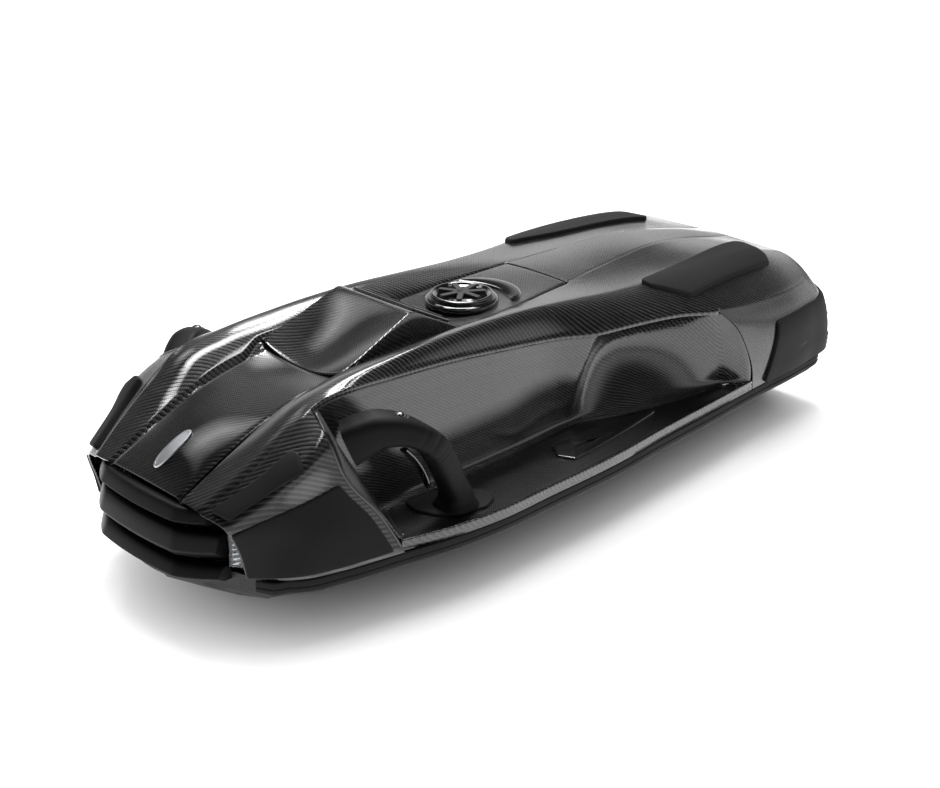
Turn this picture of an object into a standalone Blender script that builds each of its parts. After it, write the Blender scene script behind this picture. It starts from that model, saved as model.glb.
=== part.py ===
"""Ride-on underwater scooter: a flat carbon hull with two open arm recesses, a display cowl, a charging
port under a round cap, two looped hand grips and a shrouded jet drive along the keel.

Metres, +Z up. The nose points to -Y, the rider lies behind it at +Y, and +X is the rider's left.
The origin is on the ground under the middle of the bounding box."""
import math

import bmesh
import bpy
import numpy as np
from mathutils import Matrix, Vector

# ---------------------------------------------------------------- driving dimensions
HALF_LENGTH = 0.570
SKIN = 0.0025            # thickness of the carbon shells
GAP = 0.0004             # clearance between touching pieces
REVEAL = 0.0035          # how far a liner starts inside the edge of the opening it lines
RAIL_Z = 0.100           # split line between the top shell and the lower hull
LIP_Z = 0.115            # top of the lip along the arm recess
FLOOR_Z = 0.111          # floor of the arm recess
BAND_BOTTOM_Z = 0.083    # underside of the rub rail
HULL_INSET = 0.004       # the hull wall stands this far inside the rail line
PANEL_END_Y = 0.125      # rear seam of the deck panel
COWL_FRONT_Y = -0.305
COWL_REAR_Y = -0.090
RIDGE = (0.071, -0.182, 0.317)
CORNER_FRONT_Y = -0.397  # front top corner of the arm recess
CORNER_REAR_Y = 0.275    # rear top corner of the arm recess
CAP_CENTRE = (0.0, -0.023)
PORT_RADIUS = 0.037
JET_Z = 0.056
JET_BORE = 0.043
JET_WALL = 0.0035
IMPELLER_Y = 0.365
BLADES = 5
SEGMENTS = 28
UP = (0.0, 0.0, 1.0)

# ---------------------------------------------------------------- feature lines, y first
CENTRE = [(-.545, .185), (-.51, .207), (-.47, .226), (-.40, .247), (-.31, .256), (-.15, .262), (0, .270),
          (.18, .279), (.35, .277), (.46, .263), (.545, .241)]
CREASE = [(-.545, .068, .1845), (-.50, .0665, .206), (-.455, .067, .226), (-.40, .066, .246),
          (-.33, .066, .260), (-.15, .070, .267), (0, .069, .272), (.11, .060, .275), (.20, .050, .277),
          (.35, .036, .2765), (.545, .030, .2405)]
CREST = [(-.545, .100, .182), (-.50, .112, .210), (-.44, .120, .246), (-.395, .120, .271),
         (-.34, .118, .283), (-.25, .117, .290), (-.14, .115, .292), (-.03, .112, .287), (.07, .115, .279),
         (.15, .122, .273), (.25, .125, .270), (.38, .125, .267), (.47, .125, .257), (.545, .125, .239)]
EDGE = [(-.545, .108, .179), (-.50, .122, .205), (-.44, .128, .244), (-.397, .130, .271),
        (-.344, .130, .279), (-.257, .131, .275), (-.172, .132, .269), (-.08, .135, .259),
        (.025, .142, .247), (.082, .158, .242), (.15, .172, .242), (.216, .190, .241), (.275, .208, .234),
        (.35, .214, .228), (.45, .210, .221), (.525, .195, .217)]
PANEL = [(-.545, .068), (-.455, .067), (-.345, .067), (-.305, .078), (-.24, .0745), (-.18, .071),
         (-.09, .070), (0, .069), (.11, .060), (.125, .059)]
PLAN = [(-.548, .060), (-.541, .080), (-.519, .115), (-.5125, .147), (-.482, .186), (-.42, .213),
        (-.345, .230), (-.285, .244), (-.208, .2535), (-.118, .2545), (.018, .2535), (.121, .2465),
        (.24, .240), (.34, .233), (.38, .231), (.48, .227), (.53, .220), (.55, .208), (.563, .186)]
KEEL = [(-.548, .070, .030), (-.52, .052, .045), (-.46, .022, .070), (-.38, .006, .085), (-.30, .004, .088),
        (.30, .004, .088), (.45, .004, .088), (.563, .008, .086)]
# flank ahead of the arm recess: columns from the nose cheek to the recess, rows from the shoulder down
FRONT_FLANK = [
    [(.108, -.545, .179), (.134, -.537, .171), (.144, -.531, .157), (.147, -.522, .130), (.147, -.515, .100)],
    [(.122, -.500, .205), (.153, -.487, .198), (.166, -.487, .172), (.178, -.478, .138), (.186, -.482, .100)],
    [(.128, -.440, .244), (.172, -.440, .227), (.181, -.440, .184), (.200, -.430, .150), (.213, -.420, .100)],
    [(.130, -.397, .271), (.168, -.404, .246), (.190, -.396, .196), (.209, -.366, .150), (.230, -.345, .100)]]
# flank behind the recess, round the tail corner to the middle of the transom
REAR_FLANK = [
    [(.208, .275, .234), (.222, .305, .205), (.230, .325, .165), (.233, .337, .130), (.233, .340, .100)],
    [(.213, .375, .226), (.230, .385, .199), (.237, .385, .165), (.236, .382, .130), (.231, .380, .100)],
    [(.208, .470, .220), (.224, .475, .197), (.231, .480, .165), (.231, .480, .130), (.227, .480, .100)],
    [(.195, .525, .217), (.206, .538, .192), (.214, .545, .160), (.216, .550, .130), (.214, .550, .100)],
    [(.120, .543, .240), (.125, .556, .218), (.128, .561, .180), (.130, .5633, .140), (.130, .5633, .100)],
    [(0, .545, .241), (0, .557, .218), (0, .562, .180), (0, .5633, .140), (0, .5633, .100)]]
# foot of the recess wall, from the front lip corner round to the rear end of the floor
WALL_FOOT = [(.139, -.300), (.140, -.222), (.142, -.167), (.142, -.063), (.138, .045), (.155, .092),
             (.183, .188), (.201, .302)]
LIP = [(.227, -.345), (.244, -.284), (.255, -.208), (.2555, -.118), (.2545, .018), (.2465, .121),
       (.240, .24), (.234, .337)]
STATIONS = [-.545, -.525, -.500, -.470, -.440, -.418, -.397, -.370, -.345, -.305, -.270, -.225, -.182,
            -.135, -.090, -.045, .010, .050, .082, .125, .160, .200, .240, .275, .320, .375, .425, .470, .505,
            .528, .545]


# ---------------------------------------------------------------- smooth curves
def hermite(knots, values):
    """A smooth curve through the values at the knots, without overshoot at a turning point."""
    knots = np.asarray(knots, float)
    values = np.asarray(values, float)
    step = np.diff(knots)[:, None]
    slope = np.diff(values, axis=0) / step
    tangent = np.zeros_like(values)
    tangent[0] = slope[0]
    tangent[-1] = slope[-1]
    for i in range(1, len(knots) - 1):
        mean = (slope[i - 1] * step[i] + slope[i] * step[i - 1]) / (step[i] + step[i - 1])
        turn = slope[i - 1] * slope[i]
        tangent[i] = np.where(turn > 0, mean, np.where(turn < 0, 0.25 * (slope[i - 1] + slope[i]), 0.0))

    def curve(t):
        t = min(max(t, knots[0]), knots[-1])
        i = min(max(int(np.searchsorted(knots, t, side="right")) - 1, 0), len(knots) - 2)
        h = knots[i + 1] - knots[i]
        u = (t - knots[i]) / h
        return ((2 * u ** 3 - 3 * u ** 2 + 1) * values[i] + (u ** 3 - 2 * u ** 2 + u) * h * tangent[i]
                + (3 * u ** 2 - 2 * u ** 3) * values[i + 1] + (u ** 3 - u ** 2) * h * tangent[i + 1])
    return curve


def along_y(rows):
    """Rows of y and one or more values, as a function of y."""
    rows = np.asarray(rows, float)
    return hermite(rows[:, 0], rows[:, 1:])


def through(points):
    """A smooth curve through points, by the share of the chord length, 0 to 1."""
    points = np.asarray(points, float)
    chords = np.linalg.norm(np.diff(points, axis=0), axis=1)
    knots = np.concatenate([[0.0], np.cumsum(chords)])
    return hermite(knots / knots[-1], points)


def net(columns):
    """A surface through a net of points: s runs over the columns and w over the rows, both 0 to 1."""
    columns = np.asarray(columns, float)
    rows = np.linspace(0, 1, columns.shape[1])
    top = np.concatenate([[0.0], np.cumsum(np.linalg.norm(np.diff(columns[:, 0], axis=0), axis=1))])
    downs = [hermite(rows, column) for column in columns]

    def surface(s, w):
        return hermite(top / top[-1], [down(w) for down in downs])(s)
    return surface


centre_line = along_y(CENTRE)
crease_line = along_y(CREASE)
crest_line = along_y(CREST)
edge_line = along_y(EDGE)
panel_line = along_y(PANEL)
plan_line = along_y(PLAN)
keel_line = along_y(KEEL)
front_flank = net(FRONT_FLANK)
rear_flank = net(REAR_FLANK)
wall_foot = through(WALL_FOOT)
lip_line = through(LIP)


def deck_z(x, y):
    """Height of the top skin: a shallow hood, a crease each side, then the raised shoulder."""
    x = abs(x)
    middle = centre_line(y)[0]
    crease_x, crease_z = crease_line(y)
    crest_x, crest_z = crest_line(y)
    edge_x, edge_z = edge_line(y)
    if x <= crease_x:
        return middle + (crease_z - middle) * (x / crease_x) ** 2
    if x <= crest_x:
        t = (x - crease_x) / (crest_x - crease_x)
        return crease_z + (crest_z - crease_z) * (1 - (1 - t) ** 2)
    t = (x - crest_x) / (edge_x - crest_x)
    return crest_z + (edge_z - crest_z) * t ** 1.7


def on_deck(x, y, lift=0.0):
    return (x, y, deck_z(x, y) + lift)


# ---------------------------------------------------------------- scene and materials
for old in list(bpy.data.objects):
    bpy.data.objects.remove(old)

PARTS = bpy.data.collections.new("underwater_scooter")
CUTTERS = bpy.data.collections.new("cutters")
bpy.context.scene.collection.children.link(PARTS)
bpy.context.scene.collection.children.link(CUTTERS)


def finish(name, colour, roughness, metallic=0.0):
    """A plain Principled material."""
    material = bpy.data.materials.new(name)
    material.use_nodes = True
    shader = material.node_tree.nodes["Principled BSDF"]
    shader.inputs["Base Color"].default_value = (*colour, 1.0)
    shader.inputs["Roughness"].default_value = roughness
    shader.inputs["Metallic"].default_value = metallic
    return material


CARBON = finish("carbon_gloss", (.035, .036, .038), .18)
RUBBER = finish("rubber_black", (.018, .018, .019), .62)
PLASTIC = finish("plastic_black", (.025, .025, .027), .42)
GLOSS_BLACK = finish("gloss_black", (.012, .012, .013), .12)
CHROME = finish("bright_trim", (.72, .73, .75), .16, 1.0)
ALUMINIUM = finish("anodised_aluminium", (.55, .56, .58), .36, 1.0)
STEEL = finish("stainless_steel", (.60, .60, .61), .28, 1.0)
LENS = finish("lamp_lens", (.80, .84, .88), .05)
BATTERY = finish("battery_case", (.10, .16, .26), .45)
SCREEN = finish("display_glass", (.01, .012, .016), .06)


# ---------------------------------------------------------------- mesh helpers
def add_object(name, bm, material, smooth_angle=35.0, origin=(0, 0, 0), collection=PARTS):
    """Turns a bmesh into an object whose origin is at the given point."""
    bmesh.ops.translate(bm, vec=-Vector(origin), verts=bm.verts)
    mesh = bpy.data.meshes.new(name)
    bm.to_mesh(mesh)
    bm.free()
    mesh.materials.append(material)
    mesh.shade_smooth()
    mesh.set_sharp_from_angle(angle=math.radians(smooth_angle))
    obj = bpy.data.objects.new(name, mesh)
    obj.location = origin
    collection.objects.link(obj)
    return obj


def add_grid(bm, rows):
    """Quads between rows of points; a row may hold repeated points, which are welded later."""
    verts = [[bm.verts.new(p) for p in row] for row in rows]
    for upper, lower in zip(verts, verts[1:]):
        for i in range(len(upper) - 1):
            bm.faces.new((upper[i], upper[i + 1], lower[i + 1], lower[i]))
    return verts


def weld(bm, distance=0.00002):
    bmesh.ops.remove_doubles(bm, verts=bm.verts, dist=distance)
    bmesh.ops.dissolve_degenerate(bm, edges=bm.edges, dist=distance)


def face_towards(bm, outward):
    """Makes the faces agree, then turns them all to the given side."""
    bmesh.ops.recalc_face_normals(bm, faces=bm.faces)
    total = Vector((0, 0, 0))
    for face in bm.faces:
        total += face.normal * face.calc_area()
    if total.dot(Vector(outward)) < 0:
        bmesh.ops.reverse_faces(bm, faces=bm.faces)


def mirror_x(obj):
    modifier = obj.modifiers.new("mirror", "MIRROR")
    modifier.use_axis = (True, False, False)
    modifier.merge_threshold = 0.0001
    return modifier


def solidify(obj, thickness, outside=False):
    modifier = obj.modifiers.new("thickness", "SOLIDIFY")
    modifier.thickness = thickness
    modifier.offset = 1.0 if outside else -1.0
    return modifier


def shell(name, bm, material, outward, thickness=SKIN, mirrored=True, outside=False, angle=35.0):
    """An open surface with a wall thickness."""
    weld(bm)
    face_towards(bm, outward)
    obj = add_object(name, bm, material, angle)
    if mirrored:
        mirror_x(obj)
    solidify(obj, thickness, outside)
    return obj


def closed_loft(name, sections, material, mirror_sign=1, origin=(0, 0, 0), angle=40.0):
    """A body through rings of points, closed with a flat face at each end."""
    bm = bmesh.new()
    rings = [[bm.verts.new((mirror_sign * p[0], p[1], p[2])) for p in ring] for ring in sections]
    for a, b in zip(rings, rings[1:]):
        for i in range(len(a)):
            j = (i + 1) % len(a)
            bm.faces.new((a[i], a[j], b[j], b[i]))
    bm.faces.new(rings[0])
    bm.faces.new(rings[-1])
    bmesh.ops.recalc_face_normals(bm, faces=bm.faces)
    return add_object(name, bm, material, angle, origin)


def box(name, low, high, material, bevel=0.0, collection=PARTS):
    """A block between two corners, with rounded edges where bevel is given."""
    low = Vector(low)
    high = Vector(high)
    bm = bmesh.new()
    size = high - low
    place = Matrix.Translation((low + high) / 2) @ Matrix.Diagonal((*size, 1))
    bmesh.ops.create_cube(bm, size=1.0, matrix=place)
    obj = add_object(name, bm, material, 35.0, collection=collection)
    if bevel:
        modifier = obj.modifiers.new("edges", "BEVEL")
        modifier.width = bevel
        modifier.segments = 2
    return obj


def cylinder(name, start, end, radius, material, segments=SEGMENTS, collection=PARTS):
    """A round bar or cone from one point to another."""
    start = Vector(start)
    end = Vector(end)
    axis = end - start
    turn = axis.to_track_quat("Z", "Y").to_matrix().to_4x4()
    bm = bmesh.new()
    bmesh.ops.create_cone(bm, cap_ends=True, segments=segments, radius1=radius,
                          radius2=radius, depth=axis.length,
                          matrix=Matrix.Translation((start + end) / 2) @ turn)
    return add_object(name, bm, material, 35.0, collection=collection)


def turned(name, profile, centre, material, along="Z", steps=SEGMENTS):
    """A turned body: the profile (radius, height) runs down its outer side, and closes on itself."""
    mesh = bpy.data.meshes.new(name)
    points = [(r, 0.0, h) for r, h in profile]
    closed = profile[0][0] > 0.0
    count = len(points)
    edges = [(i, i + 1) for i in range(count - 1)]
    if closed:
        edges.append((count - 1, 0))
    mesh.from_pydata(points, edges, [])
    mesh.materials.append(material)
    obj = bpy.data.objects.new(name, mesh)
    obj.location = centre
    if along == "Y":
        obj.rotation_euler = (-math.pi / 2, 0, 0)
    PARTS.objects.link(obj)
    screw = obj.modifiers.new("turn", "SCREW")
    screw.axis = "Z"
    screw.steps = steps
    screw.render_steps = steps
    screw.use_merge_vertices = True
    screw.merge_threshold = 0.00005
    return obj


def plate(name, outline, low_z, high_z, material, collection=PARTS, bevel=0.0):
    """A flat outline (x, y) between two heights, as a filled curve with an extrude."""
    curve = bpy.data.curves.new(name, "CURVE")
    curve.dimensions = "2D"
    curve.fill_mode = "BOTH"
    curve.extrude = (high_z - low_z) / 2
    spline = curve.splines.new("POLY")
    spline.points.add(len(outline) - 1)
    for point, (x, y) in zip(spline.points, outline):
        point.co = (x, y, 0.0, 1.0)
    spline.use_cyclic_u = True
    maker = bpy.data.objects.new(name + "_outline", curve)
    maker.location = (0, 0, (low_z + high_z) / 2)
    return curve_to_mesh(name, maker, material, collection, bevel)


def curve_to_mesh(name, maker, material, collection=PARTS, bevel=0.0):
    """Replaces a curve object by a welded mesh."""
    bpy.context.scene.collection.objects.link(maker)
    depsgraph = bpy.context.evaluated_depsgraph_get()
    mesh = bpy.data.meshes.new_from_object(maker.evaluated_get(depsgraph))
    bm = bmesh.new()
    bm.from_mesh(mesh)
    bmesh.ops.remove_doubles(bm, verts=bm.verts, dist=0.00002)
    bmesh.ops.transform(bm, matrix=Matrix.Translation(maker.location), verts=bm.verts)
    bmesh.ops.recalc_face_normals(bm, faces=bm.faces)
    bpy.data.objects.remove(maker)
    obj = add_object(name, bm, material, 35.0, collection=collection)
    if bevel:
        modifier = obj.modifiers.new("edges", "BEVEL")
        modifier.width = bevel
        modifier.segments = 2
        modifier.limit_method = "ANGLE"
    return obj


def boolean(obj, cutter, operation="DIFFERENCE"):
    """Cuts an object with a hidden cutter."""
    cutter.display_type = "WIRE"
    cutter.hide_render = True
    modifier = obj.modifiers.new(cutter.name, "BOOLEAN")
    modifier.operation = operation
    modifier.object = cutter
    return modifier


def stadium(centre, length, width, direction=(0, 1), steps=6):
    """A round-ended slot outline along a direction in the plan."""
    along = Vector(direction).normalized()
    across = Vector((-along.y, along.x))
    radius = width / 2
    reach = (length - width) / 2
    outline = []
    for sign in (1, -1):
        for i in range(steps + 1):
            angle = math.pi * i / steps - math.pi / 2
            point = Vector(centre) + along * sign * (reach + radius * math.cos(angle)) \
                + across * sign * radius * math.sin(angle)
            outline.append((point.x, point.y))
    return outline


def ring(centre, radius_a, radius_b, axis_a, axis_b, count=12, power=2.5):
    """A rounded rectangle of points in the plane of two axes."""
    centre = Vector(centre)
    axis_a = Vector(axis_a)
    axis_b = Vector(axis_b)
    points = []
    for i in range(count):
        angle = 2 * math.pi * i / count
        ca = math.cos(angle)
        sa = math.sin(angle)
        a = math.copysign(abs(ca) ** (2 / power), ca) * radius_a
        b = math.copysign(abs(sa) ** (2 / power), sa) * radius_b
        points.append(tuple(centre + axis_a * a + axis_b * b))
    return points


SIDES = (("L", 1), ("R", -1))


# ---------------------------------------------------------------- top shell
def outer_columns(y):
    """Across the shoulder, from the panel seam out to the edge."""
    seam = (panel_line(y)[0] if y <= PANEL_END_Y else crease_line(y)[0]) + GAP
    crest = crest_line(y)[0]
    edge = edge_line(y)[0]
    step = (crest - seam) / 3
    return [seam, seam + step, seam + 2 * step, crest, (crest + edge) / 2, edge]


def tail_y(x):
    """The rear edge of the deck bows forward towards the corners."""
    return STATIONS[-1] - 0.02 * (x / edge_line(STATIONS[-1])[0]) ** 3


def shoulder_rows():
    rows = []
    for y in STATIONS:
        columns = outer_columns(y)
        if y == STATIONS[-1]:
            rows.append([on_deck(x, tail_y(x)) for x in columns])
        else:
            rows.append([on_deck(x, y) for x in columns])
    return rows


def rear_deck_rows():
    rows = []
    for y in STATIONS:
        if y < PANEL_END_Y:
            continue
        seam = outer_columns(y)[0]
        columns = [0.0, seam / 2, seam]
        if y == PANEL_END_Y:
            rows.append([on_deck(0.0, y + GAP), on_deck(seam / 2, y + GAP), on_deck(seam, y)])
        elif y == STATIONS[-1]:
            rows.append([on_deck(x, tail_y(x)) for x in columns])
        else:
            rows.append([on_deck(x, y) for x in columns])
    return rows


def front_flank_rows():
    """Columns from the nose cheek to the recess, which start on the shoulder's edge."""
    stations = [y for y in STATIONS if y <= CORNER_FRONT_Y]
    start = stations[0]
    rows = []
    for y in stations:
        s = (y - start) / (stations[-1] - start)
        column = [tuple(front_flank(s, w)) for w in (0, .12, .25, .38, .5, .65, .82, 1)]
        column[0] = on_deck(edge_line(y)[0], y)
        rows.append(column)
    return rows


def rear_flank_rows():
    """Columns from the recess round the tail corner to the middle of the transom."""
    top = [on_deck(edge_line(y)[0], y) for y in STATIONS if CORNER_REAR_Y <= y < STATIONS[-1]]
    corner = [on_deck(x, tail_y(x)) for x in reversed(outer_columns(STATIONS[-1]))]
    seam = outer_columns(STATIONS[-1])[0]
    middle = [on_deck(seam / 2, tail_y(seam / 2)), on_deck(0.0, STATIONS[-1])]
    top = top + corner + middle
    chord = [0.0]
    for a, b in zip(top, top[1:]):
        chord.append(chord[-1] + math.dist(a, b))
    rows = []
    for start, length in zip(top, chord):
        column = [tuple(rear_flank(length / chord[-1], w)) for w in (0, .2, .4, .6, .8, 1)]
        column[0] = start
        rows.append(column)
    rows[-1] = [(0.0, p[1], p[2]) for p in rows[-1]]
    return rows


def top_shell():
    bm = bmesh.new()
    for rows in (shoulder_rows(), rear_deck_rows(), front_flank_rows(), rear_flank_rows()):
        add_grid(bm, rows)
    return shell("top_shell", bm, CARBON, UP)


def hood_panel():
    bm = bmesh.new()
    rows = []
    for y in STATIONS:
        if y > COWL_FRONT_Y:
            break
        end_y = y if y < COWL_FRONT_Y else y - GAP
        seam = panel_line(y)[0] - GAP
        rows.append([on_deck(x, end_y) for x in (0.0, seam * .35, seam * .7, seam)])
    add_grid(bm, rows)
    return shell("hood_panel", bm, CARBON, UP)


def deck_panel():
    bm = bmesh.new()
    rows = []
    for y in STATIONS:
        if COWL_REAR_Y <= y <= PANEL_END_Y:
            seam = panel_line(y)[0] - GAP
            end_y = y - GAP if y == PANEL_END_Y else y + GAP * (y == COWL_REAR_Y)
            rows.append([on_deck(x, end_y) for x in (0.0, seam * .5, seam)])
    add_grid(bm, rows)
    panel = shell("deck_panel", bm, CARBON, UP)
    hole = cylinder("port_hole", (*CAP_CENTRE, .20), (*CAP_CENTRE, .32), PORT_RADIUS + .002, CARBON,
                    collection=CUTTERS)
    boolean(panel, hole)
    return panel


# ---------------------------------------------------------------- display cowl
def cowl_z(x, y):
    """A dished front slope up to the ridge, then a flat rear face down to the deck."""
    seam = panel_line(y)[0]
    if y <= RIDGE[1]:
        t = (y - COWL_FRONT_Y) / (RIDGE[1] - COWL_FRONT_Y)
        edge_z = deck_z(panel_line(COWL_FRONT_Y)[0], COWL_FRONT_Y)
        edge_z += (RIDGE[2] - edge_z) * t ** 1.1
        middle_z = deck_z(0, COWL_FRONT_Y)
        middle_z += (RIDGE[2] - middle_z) * t ** 1.35
        return middle_z + (edge_z - middle_z) * (x / seam) ** 2
    t = (y - RIDGE[1]) / (COWL_REAR_Y - RIDGE[1])
    return RIDGE[2] + (deck_z(panel_line(COWL_REAR_Y)[0], COWL_REAR_Y) - RIDGE[2]) * t


def display_cowl():
    bm = bmesh.new()
    rows = []
    stations = [y for y in STATIONS if COWL_FRONT_Y <= y <= COWL_REAR_Y]
    for y in stations:
        seam = panel_line(y)[0] - GAP
        shift = GAP * ((y == COWL_FRONT_Y) - (y == COWL_REAR_Y))
        row = [(x, y + shift, cowl_z(x, y)) for x in (0.0, seam * .35, seam * .7, seam)]
        row.append((seam, y + shift, min(deck_z(seam, y), row[-1][2])))
        rows.append(row)
    add_grid(bm, rows)
    return shell("display_cowl", bm, CARBON, UP, angle=25.0)


def rear_face_frame(along, above):
    """A point on the cowl's rear face, by its distance from the ridge, with the face's directions."""
    end_z = deck_z(panel_line(COWL_REAR_Y)[0], COWL_REAR_Y)
    slope = Vector((0, COWL_REAR_Y - RIDGE[1], end_z - RIDGE[2])).normalized()
    normal = Vector((1, 0, 0)).cross(slope)
    if normal.z < 0:
        normal.negate()
    return Vector((0, RIDGE[1], RIDGE[2])) + slope * along + normal * above, slope, normal


def slab(name, along, above, half_width, half_length, thickness, material, bevel):
    """A plate lying on the cowl's rear face."""
    centre, slope, normal = rear_face_frame(along, above + thickness / 2)
    bm = bmesh.new()
    turn = Matrix((Vector((1, 0, 0)), slope, normal)).transposed().to_4x4()
    size = Matrix.Diagonal((2 * half_width, 2 * half_length, thickness, 1))
    bmesh.ops.create_cube(bm, size=1.0, matrix=Matrix.Translation(centre) @ turn @ size)
    obj = add_object(name, bm, material)
    modifier = obj.modifiers.new("edges", "BEVEL")
    modifier.width = bevel
    modifier.segments = 2
    return obj


def display():
    slab("display_bezel", .052, GAP, .058, .036, .004, GLOSS_BLACK, .0015)
    slab("display_glass", .052, .004 + 2 * GAP, .050, .029, .0015, SCREEN, .0006)


# ---------------------------------------------------------------- charging port and cap
def charging_port():
    cx, cy = CAP_CENTRE
    seat = deck_z(0, cy) + .003
    turned("port_collar", [(.0365, seat + .0062), (.0485, seat + .0062), (.0500, seat + .0045),
                           (.0500, seat), (PORT_RADIUS + .0010, seat), (PORT_RADIUS + .0010, seat - .050),
                           (PORT_RADIUS - .0015, seat - .050), (PORT_RADIUS - .0015, seat + .0048)],
           (cx, cy, 0), GLOSS_BLACK)
    cylinder("charge_socket", (cx, cy, seat - .049), (cx, cy, seat - .034), PORT_RADIUS - .0015 - GAP,
             PLASTIC)
    turned("port_cap", [(0, seat + .0095), (.036, seat + .0095), (.0400, seat + .0125), (.0430, seat + .0110),
                        (.0430, seat + .0066), (.0340, seat + .0066), (.0340, seat - .012), (0, seat - .012)],
           (cx, cy, 0), PLASTIC)
    turned("cap_seal", [(.0349, seat - .004), (.0352, seat - .0055), (.0352, seat - .0075),
                        (.0349, seat - .009), (.0344, seat - .009), (.0344, seat - .004)],
           (cx, cy, 0), RUBBER)
    cap_knob(cx, cy, seat + .0095 + GAP)


def cap_knob(cx, cy, base_z):
    """A turn-to-lock knob: a hub with seven spokes, in the cap's dish."""
    outline = []
    spokes = 7
    for i in range(spokes):
        for offset, radius in ((-.20, .010), (-.10, .0330), (.10, .0330), (.20, .010)):
            angle = 2 * math.pi * i / spokes + offset * (1.9 if radius < .02 else 1.0)
            outline.append((cx + radius * math.cos(angle), cy + radius * math.sin(angle)))
    return plate("cap_knob", outline, base_z, base_z + .0045, GLOSS_BLACK, bevel=.0008)


def crescent_trim():
    """The bright crescent behind the cap."""
    cx, cy = CAP_CENTRE
    rows = []
    steps = 10
    for i in range(steps + 1):
        angle = math.radians(42 + 96 * i / steps)
        swell = math.sin(math.pi * i / steps) ** .5
        inner = .068 - .006 * swell
        outer = .070 + .018 * swell
        row = []
        for radius in (inner, (inner + outer) / 2, outer):
            x = cx + radius * math.cos(angle)
            y = cy + radius * math.sin(angle)
            row.append(on_deck(x, y, .0012))
        rows.append(row)
    bm = bmesh.new()
    add_grid(bm, rows)
    return shell("crescent_trim", bm, CHROME, UP, .003, mirrored=False, outside=True)


def hood_badge():
    """A plain pill-shaped badge on the hood."""
    rows = []
    for i in range(9):
        share = i / 8
        y = -.530 + .055 * share
        half = .0095 * math.sqrt(max(0.0, 1 - (2 * share - 1) ** 4)) + .0004
        rows.append([on_deck(x, y, .0010) for x in (-half, 0.0, half)])
    bm = bmesh.new()
    add_grid(bm, rows)
    return shell("hood_badge", bm, CHROME, UP, .002, mirrored=False, outside=True)


# ---------------------------------------------------------------- pads and bumpers on the skin
def patch(name, rows, sign, thickness, material, outward):
    """A pad that follows the skin: the rows are on its underside."""
    bm = bmesh.new()
    add_grid(bm, [[(sign * p[0], p[1], p[2]) for p in row] for row in rows])
    outward = (sign * outward[0], outward[1], outward[2])
    return shell(name, bm, material, outward, thickness, mirrored=False, outside=True)


def rear_pad_rows():
    """A four-sided pad on the rear deck, with cut corners."""
    inner = hermite([0, .12, .88, 1], [(.139, .218), (.126, .216), (.089, .472), (.094, .484)])
    outer = hermite([0, .12, .88, 1], [(.146, .224), (.176, .258), (.167, .448), (.150, .468)])
    rows = []
    for i in range(12):
        share = i / 11
        a = inner(share)
        b = outer(share)
        rows.append([on_deck(a[0] + (b[0] - a[0]) * k / 4, a[1] + (b[1] - a[1]) * k / 4, .0010)
                     for k in range(5)])
    return rows


def flank_patch(surface, s_range, w_top, w_bottom, columns, lines, lift):
    """A patch of a flank surface, lifted off it; w_top is a function of the share along it."""
    rows = []
    for i in range(columns):
        share = i / (columns - 1)
        s = s_range[0] + (s_range[1] - s_range[0]) * share
        top = w_top(share)
        bottom = w_bottom(share)
        row = []
        for k in range(lines):
            w = top + (bottom - top) * k / (lines - 1)
            point = Vector(surface(s, w))
            along = Vector(surface(min(s + .02, 1), w)) - Vector(surface(max(s - .02, 0), w))
            down = Vector(surface(s, min(w + .03, 1))) - Vector(surface(s, max(w - .03, 0)))
            normal = along.cross(down).normalized()
            if normal.dot(Vector((point.x, point.y * .4, .12))) < 0:
                normal.negate()
            row.append(tuple(point + normal * lift))
        rows.append(row)
    return rows


def pads():
    for side, sign in SIDES:
        patch("rear_pad_" + side, rear_pad_rows(), sign, .0050, RUBBER, UP)
        rows = flank_patch(front_flank, (.05, .70), lambda k: .05 + .06 * k, lambda k: .25, 6, 4, .0012)
        patch("side_pad_" + side, rows, sign, .0035, RUBBER, (1, -1, 1))
        rows = flank_patch(front_flank, (.04, .93), lambda k: .50 + .01 * k, lambda k: .975, 8, 6, .0012)
        patch("nose_bumper_" + side, rows, sign, .0032, RUBBER, (1, -.4, 0))
        rows = flank_patch(rear_flank, (.20, .74), lambda k: .30 if k > .15 else .42 - .8 * k,
                           lambda k: .97, 14, 5, .0015)
        patch("rear_bumper_" + side, rows, sign, .0040, RUBBER, (1, .6, 0))


# ---------------------------------------------------------------- arm recesses
def recess_top(share):
    """The recess's top edge, from the front top corner to the rear one."""
    y = CORNER_FRONT_Y + (CORNER_REAR_Y - CORNER_FRONT_Y) * share
    x = edge_line(y)[0]
    return Vector((x, y, deck_z(x, y)))


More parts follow.
